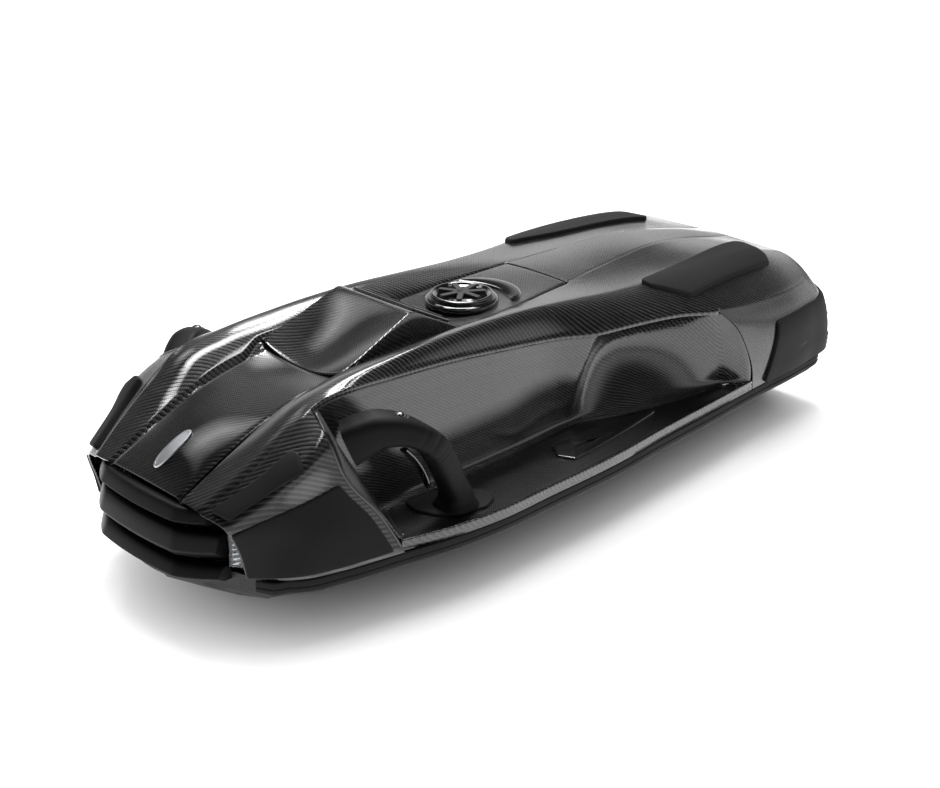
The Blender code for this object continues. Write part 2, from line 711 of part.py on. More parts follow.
def recess_wall_rows():
    """Rows from the opening's edge down to the floor, for each column round the recess."""
    rows = []
    heights = (0, .3, .6, .85, 1)
    corner_foot = Vector((*WALL_FOOT[0], FLOOR_Z))
    front_foot = Vector((*LIP[0], FLOOR_Z))
    inset = REVEAL
    for share in (0, .35, .7):
        column = []
        for w in heights:
            outer = Vector(front_flank(1.0, .04 + .88 * w))
            inner = recess_top(0).lerp(corner_foot, w)
            point = outer.lerp(inner, share)
            point += (inner - outer).normalized() * inset if share == 0 and w > 0 else Vector((0, 0, 0))
            point.y += inset
            column.append(point)
        column[0].z -= inset
        column[-1].z = FLOOR_Z
        rows.append(column)
    rows[0][-1] = front_foot + Vector((-.010, .004, 0))
    rows[1][-1] = rows[0][-1].lerp(corner_foot, .4)
    rows[2][-1] = rows[0][-1].lerp(corner_foot, .75)
    count = 13
    for i in range(count):
        share = i / (count - 1)
        top = recess_top(min(max(share, .006), 1))
        top.z -= inset
        foot = Vector((*wall_foot(share), FLOOR_Z))
        hollow = .020 * math.exp(-((share - .80) / .17) ** 2)
        column = []
        for w in heights:
            point = top.lerp(foot, w)
            point.x -= hollow * math.sin(math.pi * min(w * 1.05, 1))
            column.append(point)
        rows.append(column)
    end_foot = Vector((LIP[-1][0] - .010, LIP[-1][1] - .004, FLOOR_Z))
    for share in (.45, 1.0):
        column = []
        for w in heights:
            outer = Vector(rear_flank(0, .05 + .87 * w))
            outer.y -= inset
            outer.x -= inset * .5
            inner = rows[3 + count - 1][heights.index(w)]
            column.append(inner.lerp(outer, share))
        column[0].z -= inset * .5 * share
        column[-1] = Vector(rows[3 + count - 1][-1]).lerp(end_foot, share)
        rows.append(column)
    return rows


def recess_floor_rows(wall):
    """From each foot of the wall across the floor to the lip, then over it to the split line."""
    feet = [column[-1] for column in wall]
    last = len(feet) - 1
    rows = []
    for i, foot in enumerate(feet):
        share = min(max((i - 3) / (last - 5), 0), 1)
        lip = lip_line(share)
        start = Vector((lip[0] - .010, lip[1], FLOOR_Z))
        start.y += .004 * (share == 0) - .004 * (share == 1)
        if i in (0, last):
            foot = start
        rim = Vector((start.x + .010, start.y, LIP_Z))
        rows.append([foot, foot.lerp(start, .5), start, rim + Vector((-.0055, 0, 0)), rim,
                     Vector((rim.x - .0006, rim.y, RAIL_Z + GAP))])
    return rows


def recess_liner(side, sign):
    """One recess: its wall, floor, lip and the outer strip, as one skin."""
    wall = recess_wall_rows()
    floor = recess_floor_rows(wall)
    bm = bmesh.new()
    for rows in (wall, floor):
        add_grid(bm, [[(sign * p[0], p[1], p[2]) for p in row] for row in rows])
    return shell("recess_liner_" + side, bm, CARBON, (sign, 0, .6), SKIN, mirrored=False)


# ---------------------------------------------------------------- grips and controls
GRIP_PATH = [(.1635, -.3700, .2290), (.1740, -.3560, .2385), (.183, -.3430, .2435), (.198, -.3200, .2405),
             (.208, -.3010, .2300), (.213, -.2810, .2110), (.2125, -.2650, .1845), (.2095, -.2510, .1570),
             (.206, -.2380, .1290), (.2055, -.2370, .1158)]
GRIP_HALF = [(.0260, .0270), (.0250, .0240), (.0225, .0205), (.0200, .0170), (.0190, .0165), (.0185, .0170),
             (.0180, .0170), (.0175, .0165), (.0185, .0175), (.0225, .0215)]
ROOT_NORMAL = Vector((.60, .705, .378)).normalized()
BUTTON = (.1975, -.3200, .2560)
TRIGGER_PIVOT = (.196, -.3130, .2120)


def hand_grip(side, sign):
    """A loop of rubber over metal: broad at the wall, over the hand space and down to the floor."""
    points = [Vector(p) for p in GRIP_PATH]
    sections = []
    for i, (point, (across, deep)) in enumerate(zip(points, GRIP_HALF)):
        ahead = points[min(i + 1, len(points) - 1)]
        behind = points[max(i - 1, 0)]
        along = (ahead - behind).normalized()
        if i == 0:
            along = ROOT_NORMAL
        if i == len(points) - 1:
            along = Vector((0, 0, -1))
        lateral = Vector((.76, -.65, 0)).lerp(Vector((1, 0, 0)), min(i / 5, 1))
        lateral = (lateral - along * lateral.dot(along)).normalized()
        upward = lateral.cross(along).normalized()
        sections.append(ring(point, across, deep, lateral, upward, 14, 2.6))
    grip = closed_loft("hand_grip_" + side, sections, RUBBER, sign)
    x, y, z = BUTTON
    pocket = cylinder("button_pocket_" + side, (sign * x, y, z - .0032), (sign * x, y, z + .03), .0082,
                      RUBBER, segments=20, collection=CUTTERS)
    boolean(grip, pocket)
    return grip


def grip_base(side, sign):
    outline = [(.152, -.276), (.156, -.233), (.184, -.190), (.206, -.182), (.226, -.190), (.235, -.212),
               (.224, -.250), (.206, -.272), (.180, -.282)]
    if sign < 0:
        outline = [(-x, y) for x, y in reversed(outline)]
    return plate("grip_base_" + side, outline, FLOOR_Z + GAP, FLOOR_Z + .0042, RUBBER, bevel=.0012)


def trigger(side, sign):
    """A finger lever inside the grip's loop, hinged under the arm."""
    pivot = Vector(TRIGGER_PIVOT)
    spine = through([(0, 0, 0), (.003, .010, -.012), (.006, .0225, -.034), (.0055, .034, -.060)])
    sections = []
    for i in range(7):
        share = i / 6
        point = pivot + Vector(spine(share))
        ahead = Vector(spine(min(share + .05, 1))) - Vector(spine(max(share - .05, 0)))
        along = ahead.normalized()
        lateral = Vector((1, .25, 0))
        lateral = (lateral - along * lateral.dot(along)).normalized()
        depth = lateral.cross(along).normalized()
        half = .0065 - .0015 * share
        sections.append(ring(point, half, .0030, lateral, depth, 8, 2.4))
    obj = closed_loft("trigger_" + side, sections, GLOSS_BLACK, sign,
                      origin=(sign * pivot.x, pivot.y, pivot.z))
    return obj


def thumb_button(side, sign):
    """A press button on top of the arm."""
    centre = Vector((sign * BUTTON[0], BUTTON[1], BUTTON[2]))
    bm = bmesh.new()
    bmesh.ops.create_cone(bm, cap_ends=True, segments=20, radius1=.0077, radius2=.0064, depth=.0065)
    bmesh.ops.translate(bm, vec=centre + Vector((0, 0, .00325)), verts=bm.verts)
    return add_object("thumb_button_" + side, bm, GLOSS_BLACK, 35.0, centre)


def floor_trim(side, sign):
    """A long drain trim let into the recess floor, with a slot at its wide end."""
    outline = [(.174, -.030), (.199, -.046), (.222, -.036), (.221, -.010), (.211, .090), (.199, .165),
               (.186, .095), (.176, .020)]
    slot = stadium((.200, .018), .070, .0075, (.05, 1), 4)
    if sign < 0:
        outline = [(-x, y) for x, y in reversed(outline)]
        slot = [(-x, y) for x, y in reversed(slot)]
    trim = plate("floor_trim_" + side, outline, FLOOR_Z + GAP, FLOOR_Z + .0036, GLOSS_BLACK)
    cutter = plate("floor_slot_" + side, slot, FLOOR_Z - .004, FLOOR_Z + .01, GLOSS_BLACK, CUTTERS)
    boolean(trim, cutter)
    return trim


# ---------------------------------------------------------------- nose
def nose_y(x):
    """Plan of the nose face: a shallow bow, then a sweep back to the cheeks."""
    x = abs(x)
    return -HALF_LENGTH + .9 * x * x + 1.45 * max(0.0, x - .070) ** 1.35


def blade(name, z_low, z_high, depth, set_back, material=PLASTIC, reach=.122):
    """A grille blade across the nose."""
    sections = []
    count = 13
    for i in range(count):
        x = -reach + 2 * reach * i / (count - 1)
        taper = 1 - .35 * (abs(x) / reach) ** 4
        mid = (z_low + z_high) / 2
        half = (z_high - z_low) / 2 * taper
        front = nose_y(x) + set_back
        lean = .35 * half
        profile = [(front + lean + .003, mid + half), (front + lean * .4 + .0006, mid + half * .82),
                   (front, mid - half * .1), (front + .0010, mid - half * .8), (front + .0040, mid - half),
                   (front + depth, mid - half), (front + depth, mid + half)]
        sections.append([(x, y, z) for y, z in profile])
    return closed_loft(name, sections, material, angle=30.0)


def nose_frame():
    """The dark surround set inside the nose opening."""
    outer = [(0, .1800), (.072, .1820), (.102, .1745), (.127, .1655), (.1365, .1550), (.1400, .1320),
             (.1400, .1010), (.100, .1010), (.050, .1010), (0, .1010)]
    inner = [(0, .1765), (.070, .1780), (.098, .1700), (.112, .1600), (.1165, .1500), (.1165, .1320),
             (.1150, .1060), (.096, .1050), (.050, .1050), (0, .1050)]
    sections = []
    path = list(zip(outer, inner))
    full = path + [((-a[0], a[1]), (-b[0], b[1])) for a, b in reversed(path[1:-1])]
    for (ox, oz), (ix, iz) in full:
        front_o = max(nose_y(ox) + .034, -.536)
        front_i = max(nose_y(ix) + .034, -.536)
        back = .016
        sections.append([(ox, front_o, oz), (ix, front_i, iz), (ix, front_i + back, iz),
                         (ox, front_o + back, oz)])
    bm = bmesh.new()
    rings = [[bm.verts.new(p) for p in section] for section in sections]
    for k, a in enumerate(rings):
        b = rings[(k + 1) % len(rings)]
        for i in range(4):
            j = (i + 1) % 4
            bm.faces.new((a[i], a[j], b[j], b[i]))
    bmesh.ops.recalc_face_normals(bm, faces=bm.faces)
    return add_object("nose_frame", bm, PLASTIC, 30.0)


def grille_mesh():
    """The perforated screen behind the blades."""
    bm = bmesh.new()
    rows = []
    for i in range(9):
        x = .112 * i / 8
        y = max(nose_y(x) + .034, -.536) + .005
        rows.append([(x, y, z) for z in (.1065, .135, .1590 if x > .1 else .1690)])
    add_grid(bm, rows)
    return shell("grille_mesh", bm, PLASTIC, (0, -1, 0), .0015)


def headlamp(side, sign):
    """A lamp pocket at the end of the blades, closed by a clear lens."""
    rows_housing = []
    lens_sections = []
    for z, x_in, x_out in ((.1625, .1195, .1310), (.150, .1205, .1375), (.130, .1210, .1390),
                           (.107, .1200, .1385)):
        y_in = nose_y(x_in) + .012
        y_out = nose_y(x_out) + .006
        rows_housing.append([(x_in, y_in + .006, z), (x_out, y_out + .006, z),
                             (x_out - .001, y_out + .0115, z), (x_in, y_in + .016, z)])
        lens_sections.append([(x_in + .0006, y_in + .0005, z), (x_out - .0006, y_out + .0005, z),
                              (x_out - .0006, y_out + .0045, z), (x_in + .0006, y_in + .0045, z)])
    closed_loft("headlamp_housing_" + side, rows_housing, CHROME, sign)
    closed_loft("headlamp_lens_" + side, lens_sections, LENS, sign)


# ---------------------------------------------------------------- lower hull
HULL_STATIONS = [-.498, -.482, -.45, -.42, -.38, -.345, -.30, -.24, -.18, -.118, -.05, .018, .08, .14, .20,
                 .26, .32, .38, .44, .50, .53]


def hull_section(y):
    """Half section of the lower hull, from the split line down to the keel."""
    slope = (plan_line(y + .002)[0] - plan_line(y - .002)[0]) / .004
    width = plan_line(y)[0] - HULL_INSET * math.sqrt(1 + slope * slope)
    keel_z, keel_half = keel_line(y)
    return [(width, y, RAIL_Z - .0012), (width, y, BAND_BOTTOM_Z - .003),
            (width - .012, y, BAND_BOTTOM_Z - .010),
            ((width - .012 + keel_half) / 2, y, (BAND_BOTTOM_Z - .010 + keel_z) / 2 - .001),
            (keel_half, y, keel_z + .002), (keel_half - .02, y, keel_z), (0.0, y, keel_z)]


def hull_lower():
    bm = bmesh.new()
    stations = [row[0] for row in PLAN[:4]] + HULL_STATIONS + [.55, .563]
    rows = [hull_section(y) for y in stations]
    verts = add_grid(bm, rows)
    for row in (verts[0], verts[-1]):
        foot = bm.verts.new((0.0, row[0].co.y, row[0].co.z))
        bm.faces.new(row + [foot])
    hull = shell("hull_lower", bm, PLASTIC, (0, 0, -1), .0030)
    intake = box("intake_cut", (-.042, .170, -.02), (.042, .318, .030), PLASTIC, collection=CUTTERS)
    boolean(hull, intake)
    outlet = cylinder("outlet_cut", (0, .54, JET_Z), (0, .60, JET_Z), .0395, PLASTIC, collection=CUTTERS)
    boolean(hull, outlet)
    return hull


def rub_rail(side, sign):
    """A rubber band round the widest line of the hull."""
    sections = []
    for y in [-.510] + HULL_STATIONS:
        width = plan_line(y)[0]
        ahead = plan_line(min(y + .004, .56))[0] - plan_line(y - .004)[0]
        outward = Vector((.008, -ahead, 0)).normalized()
        inner = Vector((width, y, 0)) - outward * (HULL_INSET - GAP * 4)
        outer = Vector((width, y, 0))
        low = BAND_BOTTOM_Z
        high = RAIL_Z - .0010
        sections.append([(inner.x, inner.y, high), (outer.x - .0006, outer.y, high),
                         (outer.x, outer.y, (low + high) / 2), (outer.x - .0010, outer.y, low),
                         (inner.x, inner.y, low)])
    return closed_loft("rub_rail_" + side, sections, RUBBER, sign, angle=30.0)


def keel_skid(side, sign):
    """A flat rubber skid under the keel, which carries the scooter on the ground."""
    centre = (sign * .062, -.09)
    outline = stadium(centre, .36, .018, (0, 1), 5)
    return plate("keel_skid_" + side, outline, 0.0, KEEL[4][1] - GAP, RUBBER, bevel=.0008)


# ---------------------------------------------------------------- jet drive
def intake_grille():
    """Bars across the intake in the keel."""
    frame = box("intake_grille", (-.0415, .1705, .0042), (.0415, .3175, .0084), PLASTIC)
    slots = 6
    pitch = .076 / slots
    for i in range(slots):
        x = -.038 + pitch * (i + .5)
        slot = box("intake_slot_%d" % (i + 1), (x - pitch * .32, .1765, -.01), (x + pitch * .32, .3115, .02),
                   PLASTIC, collection=CUTTERS)
        boolean(frame, slot)
    return frame


def duct_section(share):
    """From the rectangular intake in the keel to the round pump bore."""
    y = .317 + .010 * share
    count = 20
    points = []
    for i in range(count):
        angle = 2 * math.pi * i / count
        c = math.cos(angle)
        s = math.sin(angle)
        square = max(abs(c), abs(s))
        box_point = Vector((.0395 * c / square, .2420 + .068 * s / square, .0112))
        round_point = Vector((JET_BORE * c, y + .004, JET_Z - JET_BORE * s))
        lift = share ** .8
        point = box_point.lerp(round_point, share)
        point.z = box_point.z + (round_point.z - box_point.z) * lift
        points.append(tuple(point))
    return points


def jet_duct():
    """The scoop that turns the water up from the keel into the pump."""
    bm = bmesh.new()
    rings = [[bm.verts.new(p) for p in duct_section(k / 6)] for k in range(7)]
    for a, b in zip(rings, rings[1:]):
        for i in range(len(a)):
            j = (i + 1) % len(a)
            bm.faces.new((a[i], a[j], b[j], b[i]))
    bmesh.ops.recalc_face_normals(bm, faces=bm.faces)
    centre = Vector((0, .28, .03))
    sample = bm.faces[:][0]
    if (sample.calc_center_median() - centre).dot(sample.normal) < 0:
        bmesh.ops.reverse_faces(bm, faces=bm.faces)
    duct = add_object("jet_duct", bm, PLASTIC)
    solidify(duct, .0022, outside=True)
    bore = cylinder("shaft_way", (0, .15, JET_Z), (0, .40, JET_Z), .0062, PLASTIC, collection=CUTTERS)
    boolean(duct, bore)
    return duct


def tube(name, y0, y1, inner0, wall, material, inner1=None, flange=0.0):
    """A turned tube along the jet's axis, with an optional flange at its front."""
    inner1 = inner0 if inner1 is None else inner1
    length = y1 - y0
    outer0 = inner0 + wall
    outer1 = inner1 + wall
    profile = [(inner1, length), (outer1, length)]
    if flange:
        profile += [(outer0, .004), (outer0 + flange, .004), (outer0 + flange, 0)]
    else:
        profile.append((outer0, 0))
    profile.append((inner0, 0))
    return turned(name, profile, (0, y0, JET_Z), material, along="Y")


def impeller():
    """Hub and skewed blades."""
    hub = turned("impeller", [(.0061, .018), (.0120, .018), (.0150, .012), (.0150, -.018), (.0061, -.018)],
                 (0, IMPELLER_Y, JET_Z), ALUMINIUM, along="Y", steps=24)
    for k in range(BLADES):
        sections = []
        turn = 2 * math.pi * k / BLADES
        for radius in (.0130, .026, JET_BORE - .0012):
            pitch = math.radians(52 - 500 * (radius - .013))
            chord = .020 + .2 * (radius - .013)
            ring_points = []
            for u, v in ((-1, -.5), (1, -.5), (1, .5), (-1, .5)):
                tangential = u * chord / 2 * math.cos(pitch) - v * .0018 * math.sin(pitch)
                axial = u * chord / 2 * math.sin(pitch) + v * .0018 * math.cos(pitch)
                angle = turn + tangential / radius
                ring_points.append((radius * math.cos(angle), IMPELLER_Y + axial,
                                    JET_Z + radius * math.sin(angle)))
            sections.append(ring_points)
        cutter = closed_loft("blade_%d" % (k + 1), sections, ALUMINIUM)
        PARTS.objects.unlink(cutter)
        CUTTERS.objects.link(cutter)
        boolean(hub, cutter, "UNION")
    return hub


def stator():
    """Fixed vanes behind the impeller, which carry the rear bearing."""
    y0 = .400
    y1 = .436
    ring_part = turned("stator_vanes", [(.0135, y1 - y0), (.0165, y1 - y0), (.0165, 0), (.0135, 0)],
                       (0, y0, JET_Z), ALUMINIUM, along="Y", steps=24)
    for k in range(6):
        angle = 2 * math.pi * (k + .5) / 6
        c = math.cos(angle)
        s = math.sin(angle)
        r0 = .0150
        r1 = JET_BORE - GAP
        side_x = -s * .0012
        side_z = c * .0012
        sections = []
        for r in (r0, r1):
            sections.append([(r * c - side_x, y0 + .004, JET_Z + r * s - side_z),
                             (r * c + side_x, y0 + .004, JET_Z + r * s + side_z),
                             (r * c + side_x, y1 - .004, JET_Z + r * s + side_z),
                             (r * c - side_x, y1 - .004, JET_Z + r * s - side_z)])
        vane = closed_loft("vane_%d" % (k + 1), sections, ALUMINIUM)
        PARTS.objects.unlink(vane)
        CUTTERS.objects.link(vane)
        boolean(ring_part, vane, "UNION")
    return ring_part


def drive_line():
    """Motor, shaft, seal, bearing, pump housing and nozzle along the jet's axis."""
    jet = JET_Z
    cylinder("motor_housing", (0, -.005, jet), (0, .126, jet), .0440, ALUMINIUM)
    mount = box("motor_mount", (-.080, .1265, .0092), (.080, .1325, .1060), PLASTIC, bevel=.002)
    hole = cylinder("mount_hole", (0, .10, jet), (0, .16, jet), .0110, PLASTIC, collection=CUTTERS)
    boolean(mount, hole)
    turned("shaft_seal", [(.0062, .010), (.0105, .010), (.0105, 0), (.0062, 0)], (0, .1345, jet), RUBBER,
           along="Y", steps=20)
    shaft = turned("drive_shaft", [(0, .296), (.0050, .296), (.0058, .294), (.0058, .0005), (0, 0)],
                   (0, .1270, jet), STEEL, along="Y", steps=16)
    tube("pump_housing", .3325, .4600, JET_BORE, JET_WALL, ALUMINIUM)
    tube("jet_nozzle", .4604, .5690, JET_BORE, JET_WALL, PLASTIC, inner1=.0350)
    return shaft


# ---------------------------------------------------------------- power
def power():
    """Battery, its strap and the motor controller."""
    box("battery_pack", (-.084, -.325, .0130), (.084, -.065, .1500), BATTERY, bevel=.006)
    strap = box("battery_strap", (-.0870, -.215, .0096), (.0870, -.180, .1535), RUBBER, bevel=.001)
    gap = box("strap_gap", (-.0845, -.230, .0124), (.0845, -.165, .1505), RUBBER, collection=CUTTERS)
    boolean(strap, gap)
    box("motor_controller", (-.060, -.045, .108), (.060, .105, .150), ALUMINIUM, bevel=.002)


# ---------------------------------------------------------------- assembly
top_shell()
hood_panel()
deck_panel()
display_cowl()
display()
charging_port()
crescent_trim()
hood_badge()
pads()
for side_name, side_sign in SIDES:
    recess_liner(side_name, side_sign)
    hand_grip(side_name, side_sign)
    grip_base(side_name, side_sign)
    trigger(side_name, side_sign)
    thumb_button(side_name, side_sign)
    floor_trim(side_name, side_sign)
    headlamp(side_name, side_sign)
    rub_rail(side_name, side_sign)
    keel_skid(side_name, side_sign)
nose_frame()
grille_mesh()
blade("grille_blade_upper", .1575, .1740, .018, .0050, reach=.1000)
blade("grille_blade_lower", .1170, .1500, .020, .0010, reach=.1080)
blade("nose_lip", .0870, .1090, .016, 0.0, reach=.1120)
hull_lower()
intake_grille()
jet_duct()
impeller()
stator()
drive_line()
power()
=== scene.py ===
"""Looks for the ride-on underwater scooter: carbon skins, rubber pads and grips, and the studio around them.

Metres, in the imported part's frame: nose at -Y, tail at +Y, +X is the rider's left, +Z up."""
import functools
import math

import bmesh
import bpy
import numpy as np
from mathutils import Matrix, Vector


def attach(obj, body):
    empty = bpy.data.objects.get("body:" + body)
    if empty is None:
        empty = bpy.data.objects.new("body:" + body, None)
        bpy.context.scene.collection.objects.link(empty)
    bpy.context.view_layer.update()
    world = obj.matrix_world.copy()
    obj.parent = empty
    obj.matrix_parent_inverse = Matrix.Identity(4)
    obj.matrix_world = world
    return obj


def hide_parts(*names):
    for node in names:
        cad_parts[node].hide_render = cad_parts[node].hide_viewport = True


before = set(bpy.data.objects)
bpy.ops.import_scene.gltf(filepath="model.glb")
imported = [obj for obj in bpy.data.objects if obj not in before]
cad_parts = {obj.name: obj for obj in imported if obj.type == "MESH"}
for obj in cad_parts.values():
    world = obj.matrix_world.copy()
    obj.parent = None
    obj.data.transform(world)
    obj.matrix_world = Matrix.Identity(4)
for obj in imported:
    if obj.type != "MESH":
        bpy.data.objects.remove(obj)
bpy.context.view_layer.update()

# ---------------------------------------------------------------- dimensions shared with the part
SKIN = 0.0025            # thickness of the carbon shells
GAP = 0.0004             # clearance between touching pieces
RAIL_Z = 0.100           # split line between the top shell and the lower hull
BAND_BOTTOM_Z = 0.083    # bottom of the rubber band below the split line
FLOOR_Z = 0.111          # floor of the arm recess
PANEL_END_Y = 0.125
COWL_FRONT_Y = -0.305
COWL_REAR_Y = -0.090
RIDGE_Y = -0.182
RIDGE_Z = 0.317
CORNER_FRONT_Y = -0.397
CORNER_REAR_Y = 0.275
TAIL_Y = 0.545
NOSE_Y = -0.545
NOSE_TIP_Y = -0.570
CAP_CENTRE = (0.0, -0.023)
PORT_RADIUS = 0.037
FINE = 0.0045            # spacing of the fine grids
SIDES = (("L", 1), ("R", -1))

# ---------------------------------------------------------------- feature lines, y first
CENTRE = [(-.545, .185), (-.51, .207), (-.47, .226), (-.40, .247), (-.31, .256), (-.15, .262), (0, .270),
          (.18, .279), (.35, .277), (.46, .263), (.545, .241)]
CREASE = [(-.545, .068, .1845), (-.50, .0665, .206), (-.455, .067, .226), (-.40, .066, .246),
          (-.33, .066, .260), (-.15, .070, .267), (0, .069, .272), (.11, .060, .275), (.20, .050, .277),
          (.35, .036, .2765), (.545, .030, .2405)]
CREST = [(-.545, .100, .182), (-.50, .112, .210), (-.44, .120, .246), (-.395, .120, .271),
         (-.34, .118, .283), (-.25, .117, .290), (-.14, .115, .292), (-.03, .112, .287), (.07, .115, .279),
         (.15, .122, .273), (.25, .125, .270), (.38, .125, .267), (.47, .125, .257), (.545, .125, .239)]
EDGE = [(-.545, .108, .179), (-.50, .122, .205), (-.44, .128, .244), (-.397, .130, .271),
        (-.344, .130, .279), (-.257, .131, .275), (-.172, .132, .269), (-.08, .135, .259),
        (.025, .142, .247), (.082, .158, .242), (.15, .172, .242), (.216, .190, .241), (.275, .208, .234),
        (.35, .214, .228), (.45, .210, .221), (.525, .195, .217)]
PANEL = [(-.545, .068), (-.455, .067), (-.345, .067), (-.305, .078), (-.24, .0745), (-.18, .071),
         (-.09, .070), (0, .069), (.11, .060), (.125, .059)]
PLAN = [(-.548, .060), (-.541, .080), (-.519, .115), (-.5125, .147), (-.482, .186), (-.42, .213),
        (-.345, .230), (-.285, .244), (-.208, .2535), (-.118, .2545), (.018, .2535), (.121, .2465),
        (.24, .240), (.34, .233), (.38, .231), (.48, .227), (.53, .220), (.55, .208), (.563, .186)]
FRONT_FLANK = [
    [(.108, -.545, .179), (.134, -.537, .171), (.144, -.531, .157), (.147, -.522, .130), (.147, -.515, .100)],
    [(.122, -.500, .205), (.153, -.487, .198), (.166, -.487, .172), (.178, -.478, .138), (.186, -.482, .100)],
    [(.128, -.440, .244), (.172, -.440, .227), (.181, -.440, .184), (.200, -.430, .150), (.213, -.420, .100)],
    [(.130, -.397, .271), (.168, -.404, .246), (.190, -.396, .196), (.209, -.366, .150), (.230, -.345, .100)]]
REAR_FLANK = [
    [(.208, .275, .234), (.222, .305, .205), (.230, .325, .165), (.233, .337, .130), (.233, .340, .100)],
    [(.213, .375, .226), (.230, .385, .199), (.237, .385, .165), (.236, .382, .130), (.231, .380, .100)],
    [(.208, .470, .220), (.224, .475, .197), (.231, .480, .165), (.231, .480, .130), (.227, .480, .100)],
    [(.195, .525, .217), (.206, .538, .192), (.214, .545, .160), (.216, .550, .130), (.214, .550, .100)],
    [(.120, .543, .240), (.125, .556, .218), (.128, .561, .180), (.130, .5633, .140), (.130, .5633, .100)],
    [(0, .545, .241), (0, .557, .218), (0, .562, .180), (0, .5633, .140), (0, .5633, .100)]]
WALL_FOOT = [(.139, -.300), (.140, -.222), (.142, -.167), (.142, -.063), (.138, .045), (.155, .092),
             (.183, .188), (.201, .302)]
LIP = [(.227, -.345), (.244, -.284), (.255, -.208), (.2555, -.118), (.2545, .018), (.2465, .121),
       (.240, .24), (.234, .337)]


# ---------------------------------------------------------------- smooth curves
def hermite(knots, values):
    """A smooth curve through the values at the knots, without overshoot at a turning point."""
    knots = np.asarray(knots, float)
    values = np.asarray(values, float)
    step = np.diff(knots)[:, None]
    slope = np.diff(values, axis=0) / step
    tangent = np.zeros_like(values)
    tangent[0] = slope[0]
    tangent[-1] = slope[-1]
    for i in range(1, len(knots) - 1):
        mean = (slope[i - 1] * step[i] + slope[i] * step[i - 1]) / (step[i] + step[i - 1])
        turn = slope[i - 1] * slope[i]
        tangent[i] = np.where(turn > 0, mean, np.where(turn < 0, 0.25 * (slope[i - 1] + slope[i]), 0.0))

    def curve(t):
        t = min(max(t, knots[0]), knots[-1])
        i = min(max(int(np.searchsorted(knots, t, side="right")) - 1, 0), len(knots) - 2)
        h = knots[i + 1] - knots[i]
        u = (t - knots[i]) / h
        return ((2 * u ** 3 - 3 * u ** 2 + 1) * values[i] + (u ** 3 - 2 * u ** 2 + u) * h * tangent[i]
                + (3 * u ** 2 - 2 * u ** 3) * values[i + 1] + (u ** 3 - u ** 2) * h * tangent[i + 1])
    return curve


def along_y(rows):
    rows = np.asarray(rows, float)
    return hermite(rows[:, 0], rows[:, 1:])


def run_lengths(points):
    """The length along a line of vectors, from 0 at the first."""
    lengths = [0.0]
    for a, b in zip(points, points[1:]):
        lengths.append(lengths[-1] + (b - a).length)
    return lengths


def chord_knots(points):
    """The same for an array of points, one to a row."""
    return np.concatenate([[0.0], np.cumsum(np.linalg.norm(np.diff(points, axis=0), axis=1))])


def through(points):
    """A smooth curve through points, by the share of the chord length, 0 to 1."""
    points = np.asarray(points, float)
    knots = chord_knots(points)
    return hermite(knots / knots[-1], points)


def net(columns):
    """A surface through a net of points: s runs over the columns and w over the rows, both 0 to 1."""
    columns = np.asarray(columns, float)
    top = chord_knots(columns[:, 0])
    downs = [hermite(np.linspace(0, 1, columns.shape[1]), column) for column in columns]

    @functools.lru_cache(maxsize=None)
    def across(w):
        return hermite(top / top[-1], [down(w) for down in downs])

    def surface(s, w):
        return across(round(w, 5))(s)
    return surface


centre_line = along_y(CENTRE)
crease_line = along_y(CREASE)
crest_line = along_y(CREST)
edge_line = along_y(EDGE)
panel_line = along_y(PANEL)
plan_line = along_y(PLAN)
front_flank = net(FRONT_FLANK)
rear_flank = net(REAR_FLANK)
wall_foot = through(WALL_FOOT)
lip_line = through(LIP)


@functools.lru_cache(maxsize=None)
def section(y):
    """The feature points across the deck at one y."""
    return (float(centre_line(y)[0]), *map(float, crease_line(y)), *map(float, crest_line(y)),
            *map(float, edge_line(y)))


def clamp(value):
    return min(max(value, 0.0), 1.0)


def smoothstep(low, high, value):
    t = clamp((value - low) / (high - low))
    return t * t * (3 - 2 * t)


def groove(x, y):
    """Depth of the channel beside the hood and the deck panel: wide at the nose, closing to a line."""
    half = .0050 - .0030 * smoothstep(-.50, -.20, y)
    depth = (.0042 - .0032 * smoothstep(-.45, -.20, y)) * smoothstep(.17, .11, y)
    middle = float(panel_line(y)[0]) + half * .55
    t = abs(x - middle) / half
    return depth * (1 - t * t) ** 2 if t < 1 else 0.0


def pad_bed(x, y):
    """The rear deck is planed off a little under each pad."""
    return .0042 * math.exp(-((abs(x) - .125) / .038) ** 2 - ((y - .345) / .095) ** 2)


def deck_z(x, y):
    """Height of the top skin: a shallow hood, a crease each side, then the raised shoulder."""
    x = abs(x)
    middle, crease_x, crease_z, crest_x, crest_z, edge_x, edge_z = section(round(y, 6))
    bed = pad_bed(x, y)
    if x <= crease_x:
        return middle + (crease_z - middle) * (x / crease_x) ** 2 - bed
    if x <= crest_x:
        t = (x - crease_x) / (crest_x - crease_x)
        return crease_z + (crest_z - crease_z) * (1 - (1 - t) ** 2) - bed
    t = (x - crest_x) / (edge_x - crest_x)
    return crest_z + (edge_z - crest_z) * t ** 1.7 - bed


def deck_point(x, y):
    """A point of the skin; the deck's rear edge bows forward towards the corners."""
    y -= .020 * (abs(x) / float(edge_line(TAIL_Y)[0])) ** 3 * smoothstep(.49, TAIL_Y, y)
    return (x, y, deck_z(x, y) - groove(abs(x), y))


# ---------------------------------------------------------------- mesh tools
def build(name, bm, smooth_angle=32.0):
    mesh = bpy.data.meshes.new(name)
    bm.to_mesh(mesh)
    bm.free()
    mesh.shade_smooth()
    mesh.set_sharp_from_angle(angle=math.radians(smooth_angle))
    obj = bpy.data.objects.new(name, mesh)
    bpy.context.scene.collection.objects.link(obj)
    return obj


